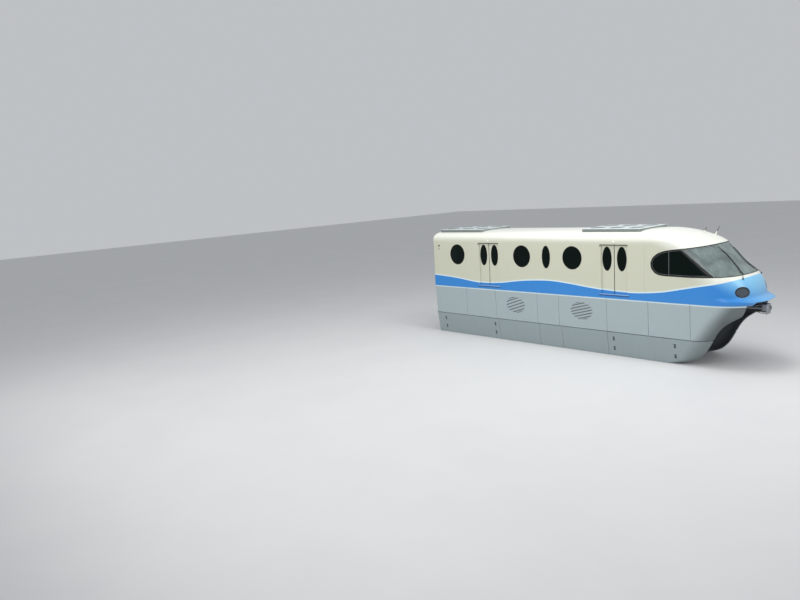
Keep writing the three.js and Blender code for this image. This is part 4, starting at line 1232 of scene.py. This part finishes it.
frames = [onDesk(roundBox([7.12, y - 0.17, 0.0], [7.36, y + 0.17, 0.014], 0.006)) for y in screensY]
screens = [onDesk(roundBox([7.135, y - 0.155, 0.0135], [7.345, y + 0.155, 0.0165], 0.001, 2)) for y in screensY]
makePiece("deskScreens", screens, windowGlass, "window_glass")
knob = stud(0.012, 0.012, 0.008, 0.018, count=12)
knobs = [onDesk(moved(knob, (7.09, y, 0.003))) for y in np.linspace(-0.9, 0.9, 25)]
handles = [tube(rounded([(7.22, y, 1.86), (7.2, y, 1.93), (7.17, y, 1.985)], 0.02), 0.009) for y in gripsY]
grips = [roundBox([7.14, y - 0.03, 1.975], [7.19, y + 0.03, 2.005], 0.014) for y in gripsY]
makePiece("deskTrim", [*frames, *grips], blackTrim, "cab_plastic")
makePiece("deskKnobs", [*knobs, *handles], castGrey, "aluminium")
# the hood over the screens: x = 7.42 + 0.22 t^1.2, z = 1.902 + 0.05 sin(pi t^0.8)
t, y = np.linspace(0, 1, 10)[:, None], np.linspace(-1.02, 1.02, 30)[None]
hood = np.stack(np.broadcast_arrays(7.42 + 0.22 * t ** 1.2, y, 1.902 + 0.05 * np.sin(np.pi * t ** 0.8)), -1)
makePiece("deskHood", [sheet(hood)], cabPlastic, "cab_plastic", thickness=0.006, sharp=60)
frames = []
for x in (5.566, 5.624):
    path = rounded([(x, -0.33, 1.14), (x, -0.33, 2.95), (x, 0.33, 2.95), (x, 0.33, 1.14)], 0.08, 8)
    frames.append(carried(path, (1, 0, 0), oval(0.022, 0.007)))
    frames += [block(x, 0.004, ys, (1.3, 2.9), 0.003, 2) for ys in ((-1.2, -0.42), (0.42, 1.2))]
makePiece("bulkheadTrim", frames, castGrey, "aluminium", sharp=60)
print("cab made")

# ---- cabin fittings ----
cabin = {"floorZ": 1.0738, "lightY": 0.55, "lightZ": 3.44, "railY": 0.78, "railZ": 3.0}


def mat(xs, ys, step):
    def flat(x, y):
        return np.stack([x, y, cabin["floorZ"] + 0 * x], -1)
    return panel(flat, lines(*xs, step=step), lines(*ys, step=0.4))


mats = [mat((-6.88, 5.56), (-1.405, 1.405), 0.5), mat((5.63, 6.9), (-1.2, 1.2), 0.4)]
makePiece("floorVinyl", mats, floorVinyl, "cab_plastic", thickness=0.003)
sills = []
for x in doorXs:
    sills.append(block(x, 0.58, (-1.43, -1.34), (1.0722, 1.0765), 0.002, 2))
    sills += [block(x, 0.57, (y, y + 0.006), (1.075, 1.0785), 0.0015, 2) for y in (-1.42, -1.4, -1.38, -1.36)]
makePiece("doorSills", paired(sills), castGrey, "aluminium", sharp=60)
lamps, cases, rails = [], [], []
lightZ, railZ, along = cabin["lightZ"], cabin["railZ"], (0, 1, 0)
postLine = ((1.16, 1.078), (1.16, 2.2), (1.1, 3.2), (1.02, 3.42))
postFoot = [[0, 1.076], [0.045, 1.076], [0.04, 1.09], [0.02, 1.1], [0, 1.1]]
for sign in (-1, 1):
    y = sign * cabin["lightY"]
    for x in np.arange(-6.0, 4.0, 1.55):
        lamps.append(roundBox([x, y - 0.07, lightZ], [x + 1.4, y + 0.07, lightZ + 0.02], 0.009))
        cases.append(roundBox([x - 0.02, y - 0.09, lightZ + 0.01], [x + 1.42, y + 0.09, lightZ + 0.06], 0.012))
        cases += [block(x + d, 0.02, (y - 0.02, y + 0.02), (lightZ + 0.05, 3.57), 0.006) for d in (0.2, 1.2)]
    y = sign * cabin["railY"]
    path = rounded([(-6.0, y, 3.42), (-6.0, y, railZ), (5.2, y, railZ), (5.2, y, 3.42)], 0.12, 8)
    rails.append(tube(path, 0.016, 12, along))
    rails += [tube([(x, y, z) for z in (railZ, 3.3, 3.5)], 0.011, 10, along) for x in (-4.2, -2.4, 0, 2.4, 4.2)]
    for x in (-3.98, -2.6, 2.6, 3.98):
        rails.append(tube([(x, sign * out, z) for out, z in postLine], 0.017, 14, along))
        rails.append(turned(postFoot, (x, sign * postLine[0][0], 0), "z", 24))
makePiece("ceilingLamps", lamps, ceilingLight, "lamp_glass")
makePiece("ceilingCases", cases, castGrey, "aluminium")
makePiece("grabRails", rails, brightMetal, "aluminium", sharp=60)
print("cabin made")

# ---- gangway bellows ----
gangway = {"back": -7.149, "front": -6.9615, "inner": (0.421, 1.071, 2.999, 0.04),
           "outer": (0.619, 1.001, 3.169, 0.06), "frame": (0.5, 1.04, 3.06, 0.05), "folds": 6, "valley": 0.62}


def gangwayLoop(half, low, high, corner, count=20):
    # a rectangle with round corners, walked once round
    loop = []
    for k, (sy, sz) in enumerate(((1, 1), (-1, 1), (-1, -1), (1, -1))):
        a = np.linspace(0, np.pi / 2, count) + k * np.pi / 2
        z = (high if sz > 0 else low) - sz * corner + corner * np.sin(a)
        loop.append(np.stack([sy * (half - corner) + corner * np.cos(a), z], 1))
    return np.concatenate(loop)


# the profile along x: out over the folds, whose share of the way out waves, and back along the inner face
x = np.linspace(gangway["back"], gangway["front"], 2 * gangway["folds"] + 1)
wave = np.where(np.arange(len(x)) % 2, gangway["valley"], 1.0)
back = np.where(wave < 1, 0.0, 0.3)
back[[0, -1]] = 0.0
share = np.concatenate([wave, back[::-1]])[None, :, None]
ring = gangwayLoop(*gangway["inner"])[:, None] * (1 - share) + gangwayLoop(*gangway["outer"])[:, None] * share
x = np.concatenate([x, x[::-1]])[None, :, None]
ring = np.concatenate([np.broadcast_to(x, (len(ring), *x.shape[1:])), ring], 2)
makePiece("gangwayFolds", [sheet(np.concatenate([ring, ring[:1]]), True)], bellowsRubber, "rubber",
          replaces=["gangway_bellows"], sharp=30)
frames = []
for x in (gangway["back"] + 0.006, gangway["front"] - 0.006):
    loop = gangwayLoop(*gangway["frame"])
    path = np.concatenate([np.full((len(loop), 1), x), loop], 1)
    frames.append(carried(path, unitVector(path - [x, 0, 2.0]), oval(0.0055, 0.06, 8), True))
makePiece("gangwayFrames", frames, castGrey, "aluminium", sharp=60)
plate = roundBox([-7.14, -0.4, 1.0745], [-6.86, 0.4, 1.082], 0.003)
makePiece("gangwayPlate", [plate], castGrey, "aluminium", sharp=60)
print("gangway made")

# ---- couplers ----
# the x of each bracket and of the coupler's face, and the way it points
coupler = {"front": (7.2, 8.66, 1), "rear": (-6.4, -7.24, -1)}
boss = [[0, 0.05], [0.115, 0.05], [0.115, 0.1], [0.09, 0.11], [0.09, 0.2], [0.07, 0.23], [0, 0.23]]
cone = [[0, -0.04], [0.085, -0.04], [0.07, -0.02], [0.035, -0.002], [0, -0.001]]
cup = [[0.06, -0.04], [0.09, -0.04], [0.09, -0.006], [0.075, -0.006]]
rubbers = [turned([[0.07, x], [0.11, x + 0.003], [0.11, x + 0.022], [0.07, x + 0.025]], (0, 0, 0.7), "x", 28)
           for x in (0.11, 0.138, 0.166)]
for name, (mount, end, way) in coupler.items():
    # drawn towards +x from x = 0 at the bracket, then placed
    reach = abs(end - mount)

    def atEnd(parts):
        return [moved(p if way > 0 else (p[0] * [-1, 1, 1], p[1][:, ::-1]), (mount, 0, 0)) for p in parts]
    makePiece("couplerRings" + name.capitalize(), atEnd(rubbers), gasketRubber, "rubber")
    light = [turned([[0, 0.2], [0.062, 0.2], [0.062, reach - 0.24], [0, reach - 0.24]], (0, 0, 0.7), "x", 28),
             roundBox([reach - 0.25, -0.13, 0.56], [reach - 0.07, 0.13, 0.85], 0.03),
             roundBox([reach - 0.075, -0.185, 0.505], [reach - 0.035, 0.185, 0.875], 0.02),
             turned(cone, (reach, -0.085, 0.72), "x", 28), turned(cup, (reach, 0.085, 0.72), "x", 28)]
    # stays beside the head: the radius and (x behind the face, y, z) points
    for radius, stay in ((0.016, ((0.45, 0.09, 0.78), (0.25, 0.12, 0.84), (0.08, 0.165, 0.86))),
                         (0.014, ((0.5, 0.05, 0.6), (0.3, 0.14, 0.55), (0.08, 0.16, 0.53)))):
        light += [tube([(reach - d, side * y, z) for d, y, z in stay], radius, 10) for side in (-1, 1)]
    spots = [(reach - 0.036, y, z) for y in (-0.155, 0.155) for z in (0.54, 0.63, 0.75, 0.84)]
    light.append(scattered(bolt("x", 0.013, 0.01), spots))
    makePiece("couplerHead" + name.capitalize(), atEnd(light), couplerSteel, "dark_steel", sharp=40)
    dark = [roundBox([0, -0.235, 0.985], [0.26, 0.235, 1.028], 0.01),
            roundBox([0.03, -0.2, 0.78], [0.07, 0.2, 0.99], 0.01),
            turned(boss, (0, 0, 0.7), "x"), roundBox([0.2, -0.038, 0.57], [reach - 0.22, 0.038, 0.84], 0.015),
            roundBox([reach - 0.24, -0.11, 0.84], [reach - 0.06, 0.11, 0.879], 0.012)]
    dark += [roundBox([0.06, y - 0.012, 0.8], [0.25, y + 0.012, 0.99], 0.006) for y in (-0.17, -0.06, 0.06, 0.17)]
    for y in (-0.2, -0.14, 0.14, 0.2):
        near = y * 0.8
        pipe = [(0.05, y, 0.93), (0.16, y, 0.93), (0.2, near, 0.62), (reach - 0.3, near, 0.6),
                (reach - 0.07, near, 0.62)]
        dark.append(tube(rounded(pipe, 0.06), 0.013, 10))
    makePiece("couplerFrame" + name.capitalize(), atEnd(dark), darkSteel, "dark_steel", replaces=["coupler_" + name],
              sharp=40)
print("couplers made")

# ---- equipment under the floor ----
covers, fixings, pipes = [], [], []
# the y and z of each case's inner, lower and outer cover
coverPlaces = (((-0.682, -0.668), (-1.02, 0.94)), ((-1.21, -0.71), (-1.112, -1.098)), ((-1.252, -1.238), (-1.02, 0.94)))
for x in np.linspace(-1.95, 1.95, 4):
    covers += [block(x, 0.61, ys, zs, 0.006) for ys, zs in coverPlaces]
    # ribs on the inner cover
    covers += [block(x, 0.4, (-0.668, -0.66), (z, z + 0.02), 0.004) for z in np.arange(0.1, 0.7, 0.06)]
    spots = [(x + dx, -0.668, z) for dx in (-0.57, 0.57) for z in (-0.95, -0.5, 0, 0.45, 0.88)]
    fixings.append(scattered(stud(0.014, 0.006, 0.01, 0.009, "y", 10), spots))
    spots = [(x + dx, y, -1.112) for dx in (-0.57, -0.2, 0.2, 0.57) for y in (-1.17, -0.75)]
    fixings.append(scattered(stud(0.014, -0.006, 0.01, -0.009, "z", 10), spots))
for y, z, r in ((-0.6, 0.99, 0.02), (-0.53, 0.99, 0.02), (-0.47, 1.0, 0.014)):
    pipes.append(tube([(x, y, z) for x in np.linspace(-3.2, 3.2, 9)], r, 12))
    pipes += [block(x, 0.015, (y - r - 0.012, y + r + 0.012), (z - r - 0.008, 1.029), 0.005, 2)
              for x in np.arange(-3.0, 3.1, 1.0)]
dome = [[0, -0.5], [0.06, -0.495], [0.11, -0.47], [0.13, -0.43]]
tank = turned(dome + [[r, -h] for r, h in dome[::-1]], axis="y", count=40)
strap = [[0.125, -0.02], [0.134, -0.02], [0.134, 0.02], [0.125, 0.02]]
straps = [moved(turned(strap, axis="y", count=40), (0, y, 0)) for y in (-0.3, 0.3)]
hangers = [block(0, 0.02, (y - 0.02, y + 0.02), (0.1, 0.17), 0.005) for y in (-0.3, 0.3)]
tankPlaces = [(x, 0, 0.865) for x in (-2.86, 2.86)]
makePiece("caseCovers", paired(covers), lowerGrey, "grey_paint", sharp=40)
makePiece("caseFixings", paired(fixings), castGrey, "aluminium")
makePiece("floorPipes", paired(pipes), aluminium, "aluminium", sharp=40)
tanks = [moved(p, place) for place in tankPlaces for p in (tank, *hangers)]
makePiece("airTanks", tanks, unitGrey, "grey_paint", sharp=50)
makePiece("tankStraps", [moved(p, place) for place in tankPlaces for p in straps], castGrey, "aluminium")
print("underfloor made")

# ---- bogies ----
bogie = {"x": 4.75, "axle": 0.75, "axleZ": 0.5, "guide": 1.25, "guideY": 0.79, "motorR": 0.17, "stabiliserY": 0.75,
         "springY": 0.98}
bogieXs = {"rear": -bogie["x"], "front": bogie["x"]}
fins = [[bogie["motorR"] - 0.022 * (k % 4 in (2, 3)), -0.64 - k * 0.011] for k in range(25)]
motor = [[0, -0.542], [0.2, -0.542], [0.2, -0.56], [0.185, -0.6], [0.172, -0.62], *fins, [0.165, -0.93], [0.14, -0.96],
         [0, -0.965]]
guideCap = [[0, 0.079], [0.085, 0.079], [0.08, 0.1], [0.045, 0.104], [0.04, 0.125], [0, 0.13]]
pin = turned([[0, 0], [0.012, 0], [0.012, -0.01], [0, -0.012]], axis="y", count=6)
bigPin = turned([[0, 0], [0.014, 0], [0.014, -0.01], [0, -0.012]], axis="y", count=6)
# caps over and under the stabilising wheel, and the insulator of the current collector
wheelCaps = ([[0, -0.862], [0.07, -0.862], [0.065, -0.844], [0.03, -0.836], [0, -0.834]],
             [[0, -1.204], [0.07, -1.204], [0.065, -1.222], [0.03, -1.228], [0, -1.23]])
insulator = [[0, -0.62], *[[0.035 + 0.018 * (k % 2), -0.61 + k * 0.012] for k in range(8)], [0, -0.52]]
lobes = [[0, 0.481], [0.15, 0.481], [0.152, 0.5], [0.165, 0.52], [0.178, 0.55], [0.175, 0.585], [0.155, 0.615],
         [0.15, 0.62], [0.155, 0.625], [0.175, 0.655], [0.178, 0.69], [0.165, 0.72], [0.152, 0.74], [0.15, 0.758],
         [0, 0.758]]
for name, x in bogieXs.items():
    body, label = "bogie_" + name, name.capitalize()
    shells, ribs, small, dark = [], [], [], []
    for end in (-1, 1):
        axleX, gx = x + end * bogie["axle"], x + end * bogie["guide"]
        shells.append(turned(motor, (axleX, 0, bogie["axleZ"]), "y", 36))
        shells.append(block(axleX, 0.09, (-0.84, -0.66), (0.655, 0.72), 0.012))
        pipe = [(axleX - end * d, y, z) for d, y, z in ((0.05, -0.66, 0.69), (0.2, -0.6, 0.7), (0.45, -0.56, 0.66),
                                                        (0.58, -0.56, 0.6))]
        dark.append(tube(rounded(pipe, 0.05), 0.016, 10))
        small.append(scattered(pin, boltRing(0.187, -0.56, 10, "y") + [axleX, 0, bogie["axleZ"]]))
        small.append(turned(guideCap, (gx, -bogie["guideY"], 0), "z", 28))
        ribs += [roundBox([gx + d, -0.64, 0.079], [gx + d + 0.025, -0.539, 0.32], 0.006) for d in (-0.125, 0.1)]
        spots = [(gx + dx, y, 0.0795) for dx in (-0.1, 0.1) for y in (-0.88, -0.7)]
        small.append(scattered(bolt("z", 0.014, 0.012), spots))
    ribs += [block(x, 1.47, (-0.555, -0.539), (z, z + 0.018), 0.005) for z in (0.332, 0.66)]
    ribs += [block(x + d, 0.009, (-0.556, -0.539), (0.34, 0.67), 0.004) for d in (-1.4, -1.05, -0.45, 0.45, 1.05, 1.4)]
    ribs += [block(x + d, 0.01, (-1.245, -1.228), (-1.2, 0.44), 0.004) for d in (-0.15, 0.15)]
    ribs += [block(x, 0.165, (-1.112, -1.09), (z, z + 0.016), 0.005) for z in (-0.6, -0.2, 0.2)]
    spots = [(x + d, -1.2295, z) for d in (-0.08, 0.08) for z in (-1.1, -0.7, -0.3, 0.1, 0.4)]
    small.append(scattered(bigPin, spots))
    small += [turned(profile, (x, -bogie["stabiliserY"], 0), "z", 24) for profile in wheelCaps]
    # current collector: an arm, an insulator and a shoe beside the beam
    dark.append(block(x, 0.03, (-1.112, -0.62), (-0.7, -0.66), 0.01))
    dark.append(turned(insulator, (x, 0, -0.68), "y", 20))
    small.append(block(x, 0.16, (-0.53, -0.5), (-0.7, -0.66), 0.012))
    makePiece("motors" + label, paired(shells), unitGrey, "dark_steel", body, sharp=35)
    makePiece("frameRibs" + label, paired(ribs), darkSteel, "dark_steel", body, sharp=40)
    makePiece("frameSmall" + label, paired(small), castGrey, "aluminium", body, sharp=40)
    makePiece("frameDark" + label, paired(dark), blackTrim, "rubber", body, sharp=60)
    spring = turned(lobes, (x, -bogie["springY"], 0), "z", 40)
    for sign, piece in zip(sides.values(), sidePieces("airSpring" + label, [spring], bellowsRubber, "rubber", body=None,
                                                      sharp=60)):
        y = sign * bogie["springY"]
        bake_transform(piece)
print("bogies made")

# ---- wheels ----
# The load tyre's section, (radius, y): the inner wall, the tread with its grooves and the outer wall
groove = ((0.4985, 0), (0.486, 0.003), (0.486, 0.011), (0.4985, 0.014))
tyre = {"profile": [(0.262, 0.1), (0.262, 0.085), (0.3, 0.062), (0.36, 0.044), (0.42, 0.042), (0.46, 0.056),
                    (0.485, 0.072), (0.4985, 0.088), *[(r, y + d) for y in (0.128, 0.186, 0.243) for r, d in groove],
                    (0.4985, 0.298), (0.485, 0.313), (0.46, 0.328), (0.42, 0.338), (0.36, 0.325), (0.3, 0.3),
                    (0.262, 0.288), (0.262, 0.27)],
        "lugs": 44, "lugDepth": 0.009, "treadR": 0.48, "shoulders": (0.13, 0.255)}
axleHub = [[0, 0.449], [0.0595, 0.449], [0.0595, 0.32], [0.09, 0.315], [0.11, 0.285], [0.12, 0.25], [0.2, 0.235],
           [0.225, 0.26], [0.262, 0.27], [0.262, 0.1], [0.225, 0.11], [0.2, 0.14], [0.12, 0.12], [0.0595, 0.1],
           [0.0595, 0.0], [0, 0.0]]


def treadTyre(profile, centre):
    # a turned profile whose shoulders are cut by cross grooves: the radius drops in every fourth step of the turn
    r, y = np.asarray(profile, float).T[:, :, None]
    count = tyre["lugs"] * 4
    a = around(count)
    cut = (np.arange(count) % 4 == 3) * tyre["lugDepth"]
    outer = (r > tyre["treadR"]) & ((y < tyre["shoulders"][0]) | (y > tyre["shoulders"][1]))
    r = r - cut[None] * outer
    points = np.stack([r * np.cos(a), np.broadcast_to(y, r.shape), r * np.sin(a)], -1) + centre
    return sheet(np.concatenate([points, points[:1]]), True)


def sideWheel(label, node, place, radius, low, high):
    # a flat solid tyre with two grooves on a dished hub with bolts and its own pin from low to high
    tread = [[radius - d, h] for d, h in ((0.085, 0.05), (0.085, 0.078), (0.04, 0.074), (0.008, 0.062), (0, 0.052),
                                          (0, 0.024), (0.008, 0.021), (0.008, 0.015), (0, 0.012))]
    tread = tread + [[r, -h] for r, h in tread[::-1]]
    band = turned(tread + tread[:1], place, "z", 72)
    makePiece("tread" + label, [band], tyreRubber, "tyre", node, [node], sharp=35)
    dish = [[0.0445, 0.058], [0.1, 0.055], [0.13, 0.028], [radius - 0.12, 0.028], [radius - 0.1, 0.05],
            [radius - 0.084, 0.05]]
    hub = [[0, low], [0.0445, low], *[[r, -h] for r, h in dish], *dish[::-1], [0.0445, high], [0, high]]
    spots = np.concatenate([boltRing(0.075, 0.054, 8, "z"), boltRing(radius - 0.15, 0.027, 8, "z")]) + place
    parts = [turned(hub, place, "z", 48), scattered(bolt("z", 0.011, 0.009), spots)]
    makePiece("hub" + label, parts, castGrey, "aluminium", node, sharp=35)


for name, x in bogieXs.items():
    # the outer end of each bogie is the one away from the car's middle
    for where, way in (("outer", np.sign(x)), ("inner", -np.sign(x))):
        node, label = f"axle_{name}_{where}", name.capitalize() + where.capitalize()
        centre = (x + way * bogie["axle"], 0, bogie["axleZ"])
        tread = treadTyre(tyre["profile"], centre)
        makePiece("tyres" + label, paired([tread]), tyreRubber, "tyre", node, [node], sharp=35)
        nuts = scattered(stud(0.014, 0.016, 0.01, 0.02, "y"), boltRing(0.16, 0.24, 10, "y") + centre)
        hub = turned(axleHub, centre, "y", 48)
        makePiece("hubs" + label, paired([hub, nuts]), castGrey, "aluminium", node, sharp=35)
        for sideName, sign in sides.items():
            sideWheel("Guide" + label + sideName, f"guide_{name}_{where}_{sideName.lower()}",
                      (x + way * bogie["guide"], sign * bogie["guideY"], -0.3), 0.3645, -0.1095, 0.1585)
    for sideName, sign in sides.items():
        sideWheel("Low" + name.capitalize() + sideName, f"stabiliser_{name}_{sideName.lower()}",
                  (x, sign * bogie["stabiliserY"], -1.05), 0.3245, -0.149, 0.149)
print("wheels made")

# ---- camera, light and floor ----
camera = {"place": (18.47925, -26.21419, 5.84702), "yaw": 0.85131, "pitch": 0.15618, "roll": -0.0704, "lens": 31.5}


def aimed(item, right, above, back, place):
    item.matrix_world = Matrix([[right[k], above[k], back[k], place[k]] for k in range(3)] + [[0, 0, 0, 1]])


data = bpy.data.cameras.new("camera")
data.lens, data.sensor_width, data.clip_end = camera["lens"], 36, 400
eye = linked("camera", data)
(cy, cp, cr), (sy, sp, sr) = ([f(camera[k]) for k in ("yaw", "pitch", "roll")] for f in (math.cos, math.sin))
look = np.array([-sy * cp, cy * cp, -sp])
right = np.array([cy, sy, 0])
above = np.cross(right, look)
aimed(eye, cr * right + sr * above, cr * above - sr * right, -look, camera["place"])
bpy.context.scene.camera = eye

world = bpy.data.worlds.new("studio")
bpy.context.scene.world = world
world.use_nodes = True
background = world.node_tree.nodes["Background"].inputs
background["Color"].default_value, background["Strength"].default_value = (0.9, 0.93, 0.97, 1), 0.57
lights = [
    {"name": "overhead", "place": (0, -6, 16), "aim": (0, 0, 1), "size": (26, 14), "power": 1520},
    {"name": "sideFill", "place": (-1, -22, 9), "aim": (-1, 0, 1.2), "size": (28, 8), "power": 1390},
    {"name": "noseKey", "place": (22, -2, 9), "aim": (7, 0, 1.6), "size": (8, 8), "power": 640},
    {"name": "noseTop", "place": (5, -2, 14), "aim": (5.9, 0, 3.4), "size": (5, 5), "power": 600},
]
for row in lights:
    data = bpy.data.lights.new(row["name"], "AREA")
    data.shape, data.size, data.size_y, data.energy = "RECTANGLE", *row["size"], row["power"]
    back = unitVector(np.array(row["place"], float) - row["aim"])
    flat = unitVector(np.cross([0, 0, 1], back))
    aimed(linked(row["name"], data), flat, np.cross(back, flat), back, row["place"])

n = newMaterial("studioFloor", Roughness=0.7)
n.put(n.shader.inputs["Base Color"], n.mix(n.noise(0.4), linear(208, 209, 209), linear(216, 216, 215)))
clear = n.add("BsdfTransparent").outputs[0]  # seen from below the floor lets the underside show
seen = n.add("MixShader", {0: n.add("NewGeometry").outputs["Backfacing"], 1: n.shader.outputs[0], 2: clear}).outputs[0]
n.put(n.material.node_tree.nodes["Material Output"].inputs[0], seen)
xs, ys = np.meshgrid(np.linspace(-120, 120, 9), np.linspace(-120, 120, 9))
verts, faces = sheet(np.stack([xs, ys, np.full(xs.shape, hull["bottomZ"] - 0.001)], -1))
floor = linked("studioFloor", newMesh("studioFloor", verts, faces.tolist()))
floor.data.materials.append(n.material)
bpy.context.scene.view_settings.view_transform = "Standard"

# The nodes that are shown as they are
shown = {"floor": aluminium, "cab_bulkhead": lining, "driver_desk": cabPlastic, "bogie_frame_rear": darkSteel,
         "bogie_frame_front": darkSteel}
for name, finish in shown.items():
    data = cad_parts[name].data
    data.materials.clear()
    data.materials.append(finish)
